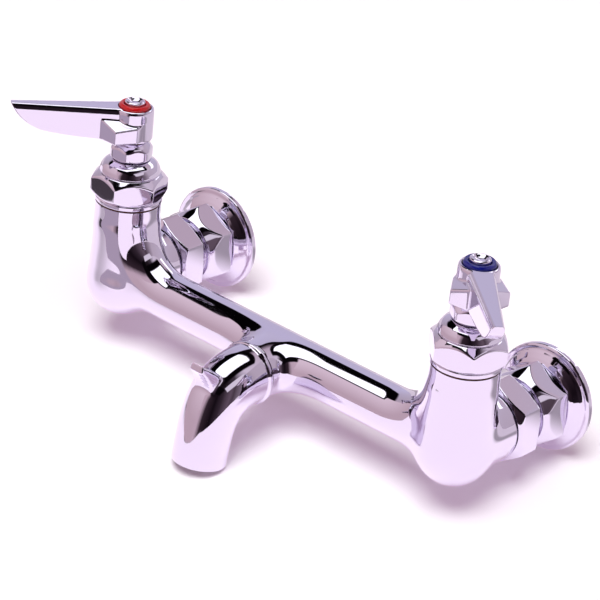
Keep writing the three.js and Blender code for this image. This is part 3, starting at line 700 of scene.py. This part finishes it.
# %% Sizes of the spout
SPOUT_ROOT_R, SPOUT_TIP_R = 14.0, 12.65
SPOUT_REACH, SPOUT_DROP = 50.0, 37.5
SPOUT_LEAN = math.radians(8)
SHOULDER_R, SHOULDER_BACK, SHOULDER_W = 14.9, 20.8, 2.6
HOOK_HALF = 5.0
OUTLET = np.array([0, -SPOUT_REACH, -SPOUT_DROP])
OUTLET_WAY = np.array([0, -math.sin(SPOUT_LEAN), -math.cos(SPOUT_LEAN)])
SPOUT_CURVE = (
    (0, -SHOULDER_BACK - 1, NECK_Z), (0, -SHOULDER_BACK - 1 - 0.74 * (SPOUT_REACH - NECK_END), NECK_Z),
    tuple(OUTLET - OUTLET_WAY * 0.66 * (SPOUT_DROP + NECK_Z)), tuple(OUTLET))


def bezier2(a, b, c, count=7):
    t = np.linspace(0, 1, count)[1:, None]
    a, b, c = (np.array(p, float) for p in (a, b, c))
    return list((1 - t) ** 2 * a + 2 * t * (1 - t) * b + t ** 2 * c)


# Side view of the hook as (forward, up).
HOOK_SIDE = np.array([
    (41, -4.1), (44, 3.9), *bezier2((44, 3.9), (51, 10.4), (56.4, 13.4)), (57.3, 10.2),
    *bezier2((57.3, 10.2), (52.6, 5.8), (51, -1.1)), (46, -8)])


def outline_distance(px, py, outline):
    """Signed distance to a closed outline, inside negative."""
    best = np.full(len(px), 1e9)
    inside = np.zeros(len(px), bool)
    for (ax, ay), (bx, by) in zip(outline, np.roll(outline, -1, 0)):
        ex, ey = bx - ax, by - ay
        wx, wy = px - ax, py - ay
        t = np.clip((wx * ex + wy * ey) / (ex * ex + ey * ey), 0, 1)
        best = np.minimum(best, np.hypot(wx - ex * t, wy - ey * t))
        rises = (ay > py) != (by > py)
        if ey != 0:
            crosses = px < ex * (py - ay) / ey + ax
            inside ^= rises & crosses
    return np.where(inside, -best, best)


# %% The spout's formula
def spout_distance(points):
    x, forward, z = points[:, 0], -points[:, 1], points[:, 2]
    elbow = pipe_distance(points, SPOUT_CURVE, SPOUT_ROOT_R, SPOUT_TIP_R)
    past_end = (points - OUTLET) @ OUTLET_WAY
    elbow = soft_max(elbow, past_end, 1.6)
    elbow = soft_max(elbow, SHOULDER_BACK - forward, 0.5)
    out = np.hypot(x, z - NECK_Z)
    across = np.abs(forward - SHOULDER_BACK - SHOULDER_W / 2) - (SHOULDER_W / 2 - 1.1)
    ring = np.hypot(np.maximum(out - SHOULDER_R + 1.1, 0), np.maximum(across, 0)) - 1.1
    plate = outline_distance(forward, z, HOOK_SIDE)
    hook = soft_max(plate, np.abs(x) - HOOK_HALF + 0.16 * np.maximum(z - 4, 0), 1.8)
    whole = soft_min(soft_min(elbow, ring, 0.5), hook, 2.4)
    bore = pipe_distance(points, SPOUT_CURVE, 7.0, 10.6)
    below = (points - OUTLET) @ OUTLET_WAY
    mouth = np.linalg.norm(points - OUTLET - below[:, None] * OUTLET_WAY, axis=1) - 10.6
    bore = np.where(below > 0, mouth, bore)
    return soft_max(whole, -bore, 1.4)


# %% Roughing out the spout
def rough_plate(outline, low, high, turn):
    """Extrudes an outline of (x, y) points between two heights, then turns it."""
    bpy.ops.mesh.primitive_circle_add(vertices=len(outline), radius=1 * MM, fill_type="NGON")
    plate = bpy.context.object
    points = points_of(plate)
    points[:, 0], points[:, 1], points[:, 2] = outline[:, 0], outline[:, 1], low
    set_points(plate, points)
    bpy.ops.object.mode_set(mode="EDIT")
    bpy.ops.mesh.select_all(action="SELECT")
    bpy.ops.mesh.extrude_region_move(TRANSFORM_OT_translate={"value": (0, 0, (high - low) * MM)})
    bpy.ops.mesh.select_all(action="SELECT")
    bpy.ops.mesh.normals_make_consistent(inside=False)
    bpy.ops.object.mode_set(mode="OBJECT")
    plate.data.transform(turn)
    return plate


def bored_spout():
    """Joins the rough solids, remeshes them and drills the waterway."""
    hook_turn = Matrix(((0, 0, 1, 0), (-1, 0, 0, 0), (0, 1, 0, 0), (0, 0, 0, 1)))
    solids = [rough_pipe(SPOUT_CURVE, 13.2), rough_plate(HOOK_SIDE, -HOOK_HALF, HOOK_HALF, hook_turn),
              rough_rod(SHOULDER_R, (0, -SHOULDER_BACK, NECK_Z), (0, -SHOULDER_BACK - SHOULDER_W, NECK_Z))]
    pick(*solids)
    bpy.ops.object.join()
    spout = bpy.context.object
    remesh(spout, 0.8)
    start, pull_a, pull_b, end = (Vector(p) for p in SPOUT_CURVE)
    drill = rough_pipe((start + Vector((0, 4, 0)), pull_a, pull_b, end + Vector(OUTLET_WAY) * 4), 8.5)
    pick(spout)
    bore = spout.modifiers.new("bore", "BOOLEAN")
    bore.operation, bore.object, bore.solver = "DIFFERENCE", drill, "EXACT"
    bpy.ops.object.modifier_apply(modifier="bore")
    bpy.data.objects.remove(drill)
    return spout


spout_piece = cast("elbow_spout", [bored_spout()], spout_distance, (0.9, 0.5),
                   Matrix.Translation((0, -AXIS_TO_WALL * MM, 0)))
shade(spout_piece, 60)
dress(spout_piece, CHROME, "chrome", "faucet", "spout")

# %% [markdown]
# ## The gasket behind the shoulder
#
# A thin fibre ring seals the spout against the neck. Only its edge shows, as a dark line that
# tells the eye where one casting ends and the next begins.

# %% Gasket
gasket = spun("spout_gasket_ring", [
    (9.8, 0), (12.5, 0, 0.2), (12.5, 1.0, 0.2), (9.8, 1.0)], sides=96)
gasket.data.transform(
    Matrix.Translation(Vector((0, -AXIS_TO_WALL - NECK_END, NECK_Z)) * MM) @ Matrix.Rotation(math.radians(90), 4, "X"))
shade(gasket)
dress(gasket, FIBRE, "fibre", "faucet", "spout_gasket")

# %% [markdown]
# ## Bonnets and packing nuts
#
# The bonnet is turned from hexagon bar: a round collar, the hexagon with a deep cone on its top
# corners, and a domed shoulder above it. The packing nut is smaller and rounder. On both the
# cone is cut first and the flats meet it in shallow arcs, so the blank is spun and the flats are
# pressed in after.

# %% Bonnet
COLLAR_BOTTOM = COLUMN_TOP + 0.8
HEX_BOTTOM = COLLAR_BOTTOM + 2.4
HEX_TOP = HEX_BOTTOM + 12
DOME_TOP = HEX_TOP + 6.4
BONNET_AF, BONNET_CORNER = 31.5, 31.5 / math.sqrt(3)


def bonnet(name, x, turn):
    piece = spun(name, [
        (7.0, COLLAR_BOTTOM - 8), (10.7, COLLAR_BOTTOM - 8, 0.4), (10.7, COLLAR_BOTTOM, 0.1),
        (15.8, COLLAR_BOTTOM, 0.5), (15.8, HEX_BOTTOM - 0.5, 0.3), (15.2, HEX_BOTTOM, 0.2),
        (15.9, HEX_BOTTOM + 0.3, 0.3), (BONNET_CORNER + 0.3, HEX_BOTTOM + 2.3, 0.8),
        (BONNET_CORNER + 0.3, HEX_TOP - 4, 1.0), (14.5, HEX_TOP - 0.2, 0.3), (13.9, HEX_TOP, 0.2),
        (14.3, HEX_TOP + 0.6, 0.3), (13.7, HEX_TOP + 2.6, 3.0), (12.3, HEX_TOP + 4.8, 4.0),
        (9.2, DOME_TOP, 1.2), (7.2, DOME_TOP, 0.2), (7.2, DOME_TOP + 4.2, 0.3), (4.3, DOME_TOP + 4.2),
        (4.3, DOME_TOP - 6), (7.0, DOME_TOP - 6)], sides=180, step=0.6)
    mill_hexagon(piece, BONNET_AF, HEX_BOTTOM + 0.2, HEX_TOP + 0.2, 0.8)
    piece.data.transform(
        Matrix.Translation(Vector((x, -AXIS_TO_WALL, 0)) * MM) @ Matrix.Rotation(math.radians(turn), 4, "Z"))
    shade(piece, 50)
    return piece


def packing_nut(name, x, turn):
    low = DOME_TOP + 0.3
    piece = spun(name, [
        (7.5, low), (8.8, low, 0.4), (10.1, low + 1.2, 0.6), (10.1, low + 5.2, 0.9), (8.6, low + 7.2, 1.6),
        (6.9, low + 9, 0.7), (4.3, low + 9, 0.3), (4.3, low + 6.9), (7.5, low + 6.9)], sides=120, step=0.5)
    mill_hexagon(piece, 18.4, low + 0.1, low + 8.6, 0.9)
    piece.data.transform(
        Matrix.Translation(Vector((x, -AXIS_TO_WALL, 0)) * MM) @ Matrix.Rotation(math.radians(turn), 4, "Z"))
    shade(piece, 50)
    return piece


# %% [markdown]
# ## The spindle
#
# Only a sliver of the brass spindle shows between the packing nut and the hub, but the pieces
# inside turn and rise with it, so it is turned whole: button foot, threaded barrel and stem.


# %% Spindle
def spindle(name, x, angle):
    piece = spun(name, [
        (0, 22.6), (4.0, 22.6, 0.3), (4.0, 24.9, 0.3), (2.9, 24.9, 0.1), (2.9, 27.3, 0.1),
        *[(r, z, c) for r, z, c in thread(27.6, 36.9, 6.7, 0.7, 1.5)], (4.0, 37.3, 0.3),
        (4.0, 70.2, 0.3), (3.0, 71.2, 0.1), (3.0, 82.7, 0.3), (0, 82.7)], sides=64, step=4)
    piece.data.transform(Matrix.Translation(Vector((x, -AXIS_TO_WALL, 0)) * MM))
    shade(piece)
    return piece


# %% [markdown]
# ## The lever handles
#
# Each handle is one casting: a round hub, a long lever with a flat top, steep bevels along its
# edges and a blade-like underside, and two flat lugs beside its root. The edges are buffed, so
# flats meet with a radius of about half a millimetre, and the same formula gives the small
# fillets where lever, lugs and hub run together.

# %% Sizes of the handle, its lever along +X
HUB_R, HUB_BOTTOM, HUB_TOP = 9.1, 70.6, 86.2
LEVER_LENGTH, LEVER_ROOT_HALF, LEVER_TIP_HALF = 57.0, 5.7, 2.9
LEVER_UNDER = 71.1
LUG_FRONT, LUG_REACH, LUG_TOP, LUG_FALL = 15.3, 12.7, 81.0, math.tan(math.radians(24))
RECESS_R, RECESS_FLOOR = 7.65, 84.3
BLADE_SIDE = np.array([
    (-1, HUB_TOP), (-1, LEVER_UNDER), (LUG_FRONT, LEVER_UNDER),
    *bezier2((LUG_FRONT, LEVER_UNDER), (33, LEVER_UNDER + 0.7), (43, HUB_TOP - 12.3), 8),
    *bezier2((43, HUB_TOP - 12.3), (51.5, HUB_TOP - 9.4), (55.4, HUB_TOP - 2.6), 8), (57, HUB_TOP)])
LUG_PLAN = np.array([
    (LUG_FRONT, 5.4), (HUB_R, LUG_REACH), (-1, HUB_R + 1.3), (-4.5, 7.4),
    (-4.5, -7.4), (-1, -HUB_R - 1.3), (HUB_R, -LUG_REACH), (LUG_FRONT, -5.4)])


# %% The handle's formula
def handle_distance(points):
    x, y, z = points[:, 0], np.abs(points[:, 1]), points[:, 2]
    out = np.hypot(x, y)
    hub = soft_max(soft_max(out - HUB_R, z - HUB_TOP, 3.0), HUB_BOTTOM - z, 1.4)
    blade = outline_distance(x, z, BLADE_SIDE)
    half = LEVER_ROOT_HALF + (LEVER_TIP_HALF - LEVER_ROOT_HALF) * (x - HUB_R) / (LEVER_LENGTH - HUB_R)
    lever = soft_max(blade, (y - half) * 0.998, 1.1)
    bevel = ((y - half) * 2.0 + (z - HUB_TOP) * 1.2 + 2.4) / math.hypot(2.0, 1.2)
    lever = soft_max(lever, bevel, 0.9)
    plan = outline_distance(x, points[:, 1], LUG_PLAN)
    top = (z - LUG_TOP + (y - 5.4) * LUG_FALL) * math.cos(math.atan(LUG_FALL))
    lug = soft_max(soft_max(plan, top, 1.1), LEVER_UNDER - z, 1.1)
    whole = soft_min(soft_min(hub, lever, 1.2), lug, 1.2)
    recess = soft_max(out - RECESS_R, RECESS_FLOOR - z, 0.5)
    return soft_max(whole, -recess, 0.7)


# %% Casting one handle and copying it
def lever_handle():
    lever_turn = Matrix(((1, 0, 0, 0), (0, 0, -1, 0), (0, 1, 0, 0), (0, 0, 0, 1)))
    blade = rough_plate(BLADE_SIDE, -LEVER_ROOT_HALF, LEVER_ROOT_HALF, lever_turn)
    lugs = rough_plate(LUG_PLAN, LEVER_UNDER, LUG_TOP - 2, Matrix.Identity(4))
    hub = rough_rod(HUB_R, (0, 0, HUB_BOTTOM), (0, 0, HUB_TOP - 0.3), 64)
    pick(blade, lugs, hub)
    bpy.ops.object.join()
    rough = bpy.context.object
    remesh(rough, 0.5)
    drill = rough_rod(RECESS_R, (0, 0, RECESS_FLOOR), (0, 0, HUB_TOP + 2), 64)
    pick(rough)
    recess = rough.modifiers.new("recess", "BOOLEAN")
    recess.operation, recess.object, recess.solver = "DIFFERENCE", drill, "EXACT"
    bpy.ops.object.modifier_apply(modifier="recess")
    bpy.data.objects.remove(drill)
    return cast("lever_handle", [rough], handle_distance, (0.5, 0.33))


def copy_of(piece, name):
    twin = piece.copy()
    twin.data = piece.data.copy()
    twin.name = name
    bpy.context.collection.objects.link(twin)
    return twin


# %% [markdown]
# ## Index ring and handle screw
#
# A coloured ring in the hub's recess tells hot from cold, and the dished, chromed head of the
# handle screw stands out of it. The dish catches a bright ring of light with a dark middle.


# %% Ring and screw
def index_ring(name):
    floor, top = RECESS_FLOOR, RECESS_FLOOR + 3.4
    return spun(name, [
        (5.0, floor), (7.35, floor, 0.2), (7.35, top - 0.9, 0.7), (6.5, top, 0.6), (5.5, top, 0.3),
        (5.0, top - 0.5, 0.2)], sides=96, step=0.6)


def handle_screw(name):
    floor, top = RECESS_FLOOR, RECESS_FLOOR + 4.7
    return spun(name, [
        (0, 73.6), (1.4, 73.6, 0.3), (1.4, floor, 0.1), (4.7, floor, 0.2), (4.7, top - 0.5, 0.5),
        (4.0, top, 0.4), (3.3, top - 0.3, 0.5), (2.2, top - 1.2, 1.5), (0, top - 1.5)], sides=96, step=0.5)


# %% [markdown]
# ## Coupling nuts, inlet shanks and wall flanges
#
# Behind each column a coupling nut draws the inlet shank against the branch. The shank has a
# hexagon of its own with a long cone on its front, and the flange slides over its tail to cover
# the hole in the wall. Seen from behind, the half-inch pipe thread shows inside the shank. These
# pieces are turned about the inlet axis, with heights measured from the wall.

# %% Inlet pieces
INLET_AF = 35.0
INLET_CORNER = INLET_AF / math.sqrt(3)
HEX_END_R = 16.3
INLET_TURN = 33


def lay_on_inlet(piece, x, turn=0):
    piece.data.transform(
        Matrix.Translation((x * MM, 0, 0)) @ Matrix.Rotation(math.radians(90), 4, "X")
        @ Matrix.Rotation(math.radians(turn), 4, "Z"))
    shade(piece, 50)
    return piece


def coupling_nut(name, x):
    piece = spun(name, [
        (11.3, 28), (HEX_END_R, 28, 0.4), (INLET_CORNER + 0.2, 29.5, 0.7), (INLET_CORNER + 0.2, 39.6, 0.9),
        (HEX_END_R, 42, 0.4), (15.2, 42, 0.4), (14.4, 41, 0.2), *reversed(thread(31.5, 40.4, 14.3, 0.5, inwards=True)),
        (14.6, 30.5), (11.3, 30.5, 0.2)], sides=180, step=0.7)
    mill_hexagon(piece, INLET_AF, 28.05, 41.95, 0.8)
    return lay_on_inlet(piece, x, INLET_TURN)


def inlet_shank(name, x):
    piece = spun(name, [
        (7.0, 14.6), (10.2, 14.6), *reversed(thread(1.2, 14.0, 9.9, 0.6, inwards=True)), (10.9, 0, 0.3),
        (16.0, 0, 0.4), (16.0, 7.8, 0.1), (HEX_END_R, 8, 0.3), (INLET_CORNER + 0.2, 9.3, 0.6),
        (INLET_CORNER + 0.2, 15.2, 2.0), (HEX_END_R, 24, 0.5), (14.5, 24, 0.3), (14.5, 27.7, 0.3), (11, 27.7, 0.3),
        (11, 30.8, 0.2), (14, 30.8, 0.2), (14, 32.8, 0.3), (7.0, 32.8, 0.4)], sides=180, step=0.7)
    mill_hexagon(piece, INLET_AF, 8.05, 23.8, 0.8)
    return lay_on_inlet(piece, x, INLET_TURN)


def wall_flange(name, x):
    piece = spun(name, [
        (16.3, 0), (25.3, 0, 0.3), (25.3, 2.4, 0.7), (24.4, 3.1, 0.5), (22.9, 3.3, 1.2), (21.6, 4.6, 1.5),
        (19.6, 6.3, 3.0), (17.8, 7.5, 1.5), (16.6, 7.6, 0.3), (16.3, 7.0, 0.2)], sides=160, step=0.8)
    return lay_on_inlet(piece, x)


# %% [markdown]
# ## Putting both sides together
#
# Everything beside the bridge exists twice. The hot side is at -X with the red ring, its lever
# pointing to the left front; the cold side is at +X with the blue ring, its lever to the right
# front.

# %% Both sides
handle_casting = lever_handle()
SIDES = (
    {"side": "hot", "x": -HALF_CENTRES, "bonnet_turn": 52, "lever": 229, "ring": RED, "ring_slot": "red_plastic"},
    {"side": "cold", "x": HALF_CENTRES, "bonnet_turn": 15, "lever": 316, "ring": BLUE, "ring_slot": "blue_plastic"},
)
for valve in SIDES:
    side, x = valve["side"], valve["x"]
    lever_body = f"{side}_lever"
    on_axis = (Matrix.Translation(Vector((x, -AXIS_TO_WALL, 0)) * MM)
               @ Matrix.Rotation(math.radians(valve["lever"]), 4, "Z"))

    dress(bonnet(f"{side}_bonnet_turned", x, valve["bonnet_turn"]), CHROME, "chrome", "faucet", f"{side}_bonnet")
    dress(packing_nut(f"{side}_packing_nut_turned", x, valve["bonnet_turn"] + 9), CHROME, "chrome", "faucet",
          f"{side}_packing_nut")
    dress(spindle(f"{side}_spindle_turned", x, valve["lever"]), BRASS, "brass", lever_body, f"{side}_spindle")

    handle = copy_of(handle_casting, f"{side}_lever_handle")
    handle.data.transform(on_axis)
    shade(handle, 60)
    dress(handle, CHROME, "chrome", lever_body, f"{side}_handle")
    ring = index_ring(f"{side}_ring_moulded")
    ring.data.transform(on_axis)
    shade(ring, 50)
    dress(ring, valve["ring"], valve["ring_slot"], lever_body, f"{side}_index_ring")
    screw = handle_screw(f"{side}_screw_turned")
    screw.data.transform(on_axis)
    shade(screw, 50)
    dress(screw, CHROME, "chrome", lever_body, f"{side}_handle_screw")

    dress(coupling_nut(f"{side}_coupling_nut_turned", x), CHROME, "chrome", "faucet", f"{side}_coupling_nut")
    dress(inlet_shank(f"{side}_shank_turned", x), CHROME, "chrome", "faucet", f"{side}_inlet_shank")
    dress(wall_flange(f"{side}_flange_turned", x), CHROME, "chrome", "faucet", f"{side}_wall_flange")
bpy.data.objects.remove(handle_casting)

# %% [markdown]
# The washers, seats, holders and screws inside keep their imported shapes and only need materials.

# %% Inner pieces
INNER = {
    "bonnet_washer": FIBRE, "packing": GRAPHITE, "valve_seat": BRASS, "seat_washer": RUBBER,
    "washer_holder": BRASS, "washer_screw": BRASS, "coupling_washer": FIBRE,
}
for side in ("hot", "cold"):
    for kind, finish in INNER.items():
        part = frame["nodes"][f"{side}_{kind}"]
        part.data.materials.clear()
        part.data.materials.append(finish)

# %% [markdown]
# ## The table
#
# The faucet lies on a white sheet, resting on its spout and on the lower rims of its flanges, so
# the sheet is tipped a few degrees against the faucet's own level. The camera sees plain white
# with the faucet's soft shadow.

# %% Sheet
REST_FRONT = Vector((0, -116.0, -39.5)) * MM
REST_BACK = Vector((0, -1.0, -25.4)) * MM
tilt = math.atan2(REST_BACK.z - REST_FRONT.z, REST_BACK.y - REST_FRONT.y)
pick()
bpy.ops.mesh.primitive_plane_add(size=8, location=(0, 0, 0))
sheet = bpy.context.object
sheet.name = "paper_sheet"
sheet.data.transform(Matrix.Translation(REST_FRONT) @ Matrix.Rotation(tilt, 4, "X"))

# %% [markdown]
# A mirror shows how far the sheet reaches: its front edge draws a thin dark line along the bridge, and past it the
# room begins. The left front of the table was in half shade. That line and that half shade are painted shade on the
# sheet, which only mirror rays see, and past the line the sheet turns clear for them; the camera sees the sheet run
# on.


# %% Sheet material
def paper():
    made, tree = material("white_paper")
    place = node(tree, "ShaderNodeSeparateXYZ", {
        0: node(tree, "ShaderNodeTexCoord").outputs["Object"]})

    def fade(value, start, end):
        return node(tree, "ShaderNodeMapRange", {
            "Value": value, "From Min": start, "From Max": end},
            interpolation_type="SMOOTHSTEP").outputs["Result"]

    def maths(how, a, b):
        return node(tree, "ShaderNodeMath", {0: a, 1: b}, operation=how).outputs["Value"]

    x, y = place.outputs["X"], place.outputs["Y"]
    mirror = node(tree, "ShaderNodeLightPath").outputs["Is Glossy Ray"]
    # The edge runs straight across the left front and turns to the lens on the right.
    turned = maths("MULTIPLY", maths("MAXIMUM", maths("ADD", x, 0.065), 0), 3.0)
    out = maths("ADD", y, turned)
    past = maths("MULTIPLY", mirror, fade(out, -0.222, -0.226))
    edge = maths("MULTIPLY", maths("MULTIPLY", mirror, fade(out, -0.212, -0.218)), fade(x, -0.102, -0.07))
    # Painted half shade at the left front of the sheet, seen only by mirror rays.
    left = maths("MULTIPLY", fade(x, -0.09, -0.22), fade(y, -0.115, -0.185))
    # Painted shade on the strip behind the faucet, towards the wall: darkest close behind it, lighter further back,
    # seen only by mirror rays.
    behind = maths("SUBTRACT", maths("MULTIPLY", fade(y, 0.008, 0.03), 0.66), maths("MULTIPLY", fade(y, 0.045, 0.08), 0.3))
    # A painted dark patch at the left front, seen only by mirror rays, that puts a black reflection on the hot
    # bonnet's hexagon.
    painted_dark_patch = maths("MULTIPLY", maths("MULTIPLY", fade(x, -0.262, -0.268), fade(x, -0.35, -0.34)),
                 maths("MULTIPLY", fade(y, -0.170, -0.176), fade(y, -0.26, -0.25)))
    shade = maths("ADD", maths("MULTIPLY", left, 0.5), behind)
    shade = maths("MAXIMUM", shade, maths("MULTIPLY", painted_dark_patch, 0.96))
    shade = maths("MULTIPLY", mirror, shade)
    lit = node(tree, "ShaderNodeBsdfDiffuse", {"Color": linear("#F4F3F6")})
    # A painted glow: the sheet emits light, a little for camera rays and more for mirror and transmission rays, so it
    # comes out white and shows brighter in the chrome.
    rays = node(tree, "ShaderNodeLightPath")
    clear_view = maths("MULTIPLY", rays.outputs["Is Camera Ray"], 0.19)
    mirrored = maths("MULTIPLY", maths("MAXIMUM", mirror, rays.outputs["Is Transmission Ray"]), 0.41)
    painted_glow = node(tree, "ShaderNodeEmission", {
        "Color": linear("#FFE0F8"), "Strength": maths("ADD", clear_view, mirrored)})
    white = node(tree, "ShaderNodeAddShader", {0: lit.outputs[0], 1: painted_glow.outputs[0]})
    dark = node(tree, "ShaderNodeBsdfDiffuse", {"Color": linear("#2A2028")})
    dim = node(tree, "ShaderNodeMixShader", {0: shade, 1: white.outputs[0], 2: dark.outputs[0]})
    lined = node(tree, "ShaderNodeMixShader", {0: edge, 1: dim.outputs[0], 2: dark.outputs[0]})
    clear = node(tree, "ShaderNodeBsdfTransparent")
    finish_with(tree, node(tree, "ShaderNodeMixShader", {
        0: past, 1: lined.outputs[0], 2: clear.outputs[0]}))
    return made


sheet.data.materials.append(paper())

# %% [markdown]
# ## The studio
#
# Chrome has hardly a colour of its own: it shows the room. The reflections tell what stood round
# the faucet: a lilac backdrop behind, a rosy panel at the left front, the dark room with the
# photographer at the right front, a black ceiling on the left and a long white light overhead.
# The world is painted by direction, so it stays put when the faucet is seen from another side,
# and the camera itself sees plain white behind the object.


# %% World
def studio():
    world = bpy.data.worlds.new("studio")
    bpy.context.scene.world = world
    world.use_nodes = True
    tree = world.node_tree
    tree.nodes.clear()
    way = node(tree, "ShaderNodeSeparateXYZ", {
        0: node(tree, "ShaderNodeTexCoord").outputs["Generated"]})
    x, y, z = (way.outputs[i] for i in range(3))

    def maths(how, a, b):
        return node(tree, "ShaderNodeMath", {0: a, 1: b}, operation=how).outputs["Value"]

    def fade(value, start, end):
        return node(tree, "ShaderNodeMapRange", {
            "Value": value, "From Min": start, "From Max": end},
            interpolation_type="SMOOTHSTEP").outputs["Result"]

    def window(*fades):
        mask = fades[0]
        for other in fades[1:]:
            mask = maths("MULTIPLY", mask, other)
        return mask

    def over(under, mask, colour):
        return node(tree, "ShaderNodeMix", {
            "Factor": mask, "A": under, "B": colour}, data_type="RGBA").outputs["Result"]

    azimuth = maths("ARCTAN2", y, x)
    around = node(tree, "ShaderNodeMapRange", {
        "Value": azimuth, "From Min": -math.pi, "From Max": math.pi}).outputs["Result"]

    def panorama(stops):
        """Colours round the horizon; each stop is degrees from +X and a colour."""
        ramp = node(tree, "ShaderNodeValToRGB", {"Fac": around})
        marks = ramp.color_ramp.elements
        for degrees, colour in stops[1:-1]:
            marks.new((degrees + 180) / 360).color = linear(colour)
        marks[0].color, marks[-1].color = linear(stops[0][1]), linear(stops[-1][1])
        return ramp.outputs["Color"]

    walls = panorama([
        (-180, "#C6B8C2"), (-150, "#DAC0C8"), (-112, "#E4C9D0"), (-92, "#D8BEC6"), (-78, "#3A2C33"),
        (-50, "#181016"), (-30, "#3A2E36"), (-8, "#6E5D68"), (0, "#55474F"), (14, "#8C7D88"),
        (34, "#CFC0CA"), (70, "#D6C9D5"), (100, "#D2CADA"), (135, "#D9D3EA"), (155, "#D0C6D6"), (180, "#C6B8C2")])
    above = panorama([
        (-180, "#0A070A"), (-160, "#0A070A"), (-150, "#4A3F46"), (-120, "#8A7B82"), (-88, "#3A3038"),
        (-58, "#120C10"), (-28, "#241C20"), (0, "#4A4048"), (30, "#EADDE8"), (82, "#D8C6D0"),
        (96, "#CFBBC6"), (112, "#181116"), (180, "#0A070A")])
    seen = over(walls, fade(z, 0.655, 0.675), above)
    # Places on a ceiling one metre up, right and away from the lens.
    height = maths("MAXIMUM", z, 0.02)
    u, w = maths("DIVIDE", x, height), maths("DIVIDE", y, height)
    overhead = fade(z, 0.2, 0.25)
    black = window(overhead, fade(u, -1.6, -1.3), fade(u, -0.52, -0.58), fade(w, -0.36, -0.30), fade(w, 0.76, 0.70))
    seen = over(seen, black, linear("#050305"))
    rosy = node(tree, "ShaderNodeMapRange", {"Value": z, "From Min": 0, "From Max": 0.75}).outputs["Result"]
    rosy = over(linear("#D8BEC4"), rosy, linear("#FAE4E9"))
    seen = over(seen, window(fade(x, 0.0, -0.3), fade(u, -0.80, -0.82), fade(w, -0.30, -0.33)), rosy)
    # A long softbox in a black frame, slanting across the ceiling, a second one behind it and a
    # pale screen to its right.
    slant = maths("SUBTRACT", u, maths("MULTIPLY", w, 0.2))
    frame_mask = window(overhead, fade(slant, -0.715, -0.70), fade(u, 0.62, 0.5), fade(w, -0.62, -0.58), fade(w, 0.76, 0.72))
    seen = over(seen, frame_mask, linear("#080508"))
    front = window(overhead, fade(u, -0.42, -0.36), fade(u, 1.2, 0.9), fade(w, -1.05, -0.98), fade(w, -0.56, -0.60))
    seen = over(seen, front, linear("#0C080B"))
    seen = over(seen, window(overhead, fade(u, -0.36, -0.42), fade(u, -0.90, -0.84), fade(w, -0.60, -0.66)), rosy)
    light = window(overhead, fade(slant, -0.660, -0.642), fade(u, 0.24, 0.18), fade(w, -0.52, -0.49), fade(w, 0.60, 0.55))
    second = window(overhead, fade(u, -0.75, -0.70), fade(u, 0.42, 0.36), fade(w, 1.18, 1.22), fade(w, 1.75, 1.6))
    third = window(overhead, fade(u, 0.84, 0.90), fade(u, 1.6, 1.4), fade(w, -0.55, -0.50), fade(w, 0.42, 0.36))
    seen = over(seen, third, linear("#F4EAF2"))
    seen = over(seen, maths("MAXIMUM", light, second), (1.9, 1.9, 1.9, 1))
    seen = over(seen, fade(z, -0.26, -0.32), linear("#C2B2C2"))

    rays = node(tree, "ShaderNodeLightPath")
    mirror = node(tree, "ShaderNodeBackground", {"Color": seen, "Strength": 1})
    fill = node(tree, "ShaderNodeBackground", {"Color": linear("#FFB8DC"), "Strength": 0.16})
    plain = node(tree, "ShaderNodeBackground", {"Color": (1, 1, 1, 1), "Strength": 1})
    mixed = node(tree, "ShaderNodeMixShader", {
        0: rays.outputs["Is Glossy Ray"], 1: fill.outputs[0], 2: mirror.outputs[0]})
    mixed = node(tree, "ShaderNodeMixShader", {
        0: rays.outputs["Is Camera Ray"], 1: mixed.outputs[0], 2: plain.outputs[0]})
    node(tree, "ShaderNodeOutputWorld", {"Surface": mixed.outputs[0]})


studio()

# %% [markdown]
# The sheet is lit from above and a little from the front and the right by a large soft light,
# so the shadow lies close under the faucet, towards the wall side. A sun with a wide angle does
# the same and stays even over the whole sheet.


# %% Lamps
def soft_sun(towards, degrees, strength, colour):
    bpy.ops.object.light_add(type="SUN", location=(0, 0, 1))
    lamp = bpy.context.object
    lamp.name = "overhead_light"
    lamp.data.angle = math.radians(degrees)
    lamp.data.energy = strength
    lamp.data.color = linear(colour)[:3]
    lamp.visible_glossy = False
    lamp.rotation_euler = Vector(towards).to_track_quat("-Z", "Y").to_euler()
    return lamp


soft_sun((-0.12, 0.42, -1), 38, 3.0, "#FBFFFC")

view = bpy.context.scene.view_settings
view.view_transform = "Standard"
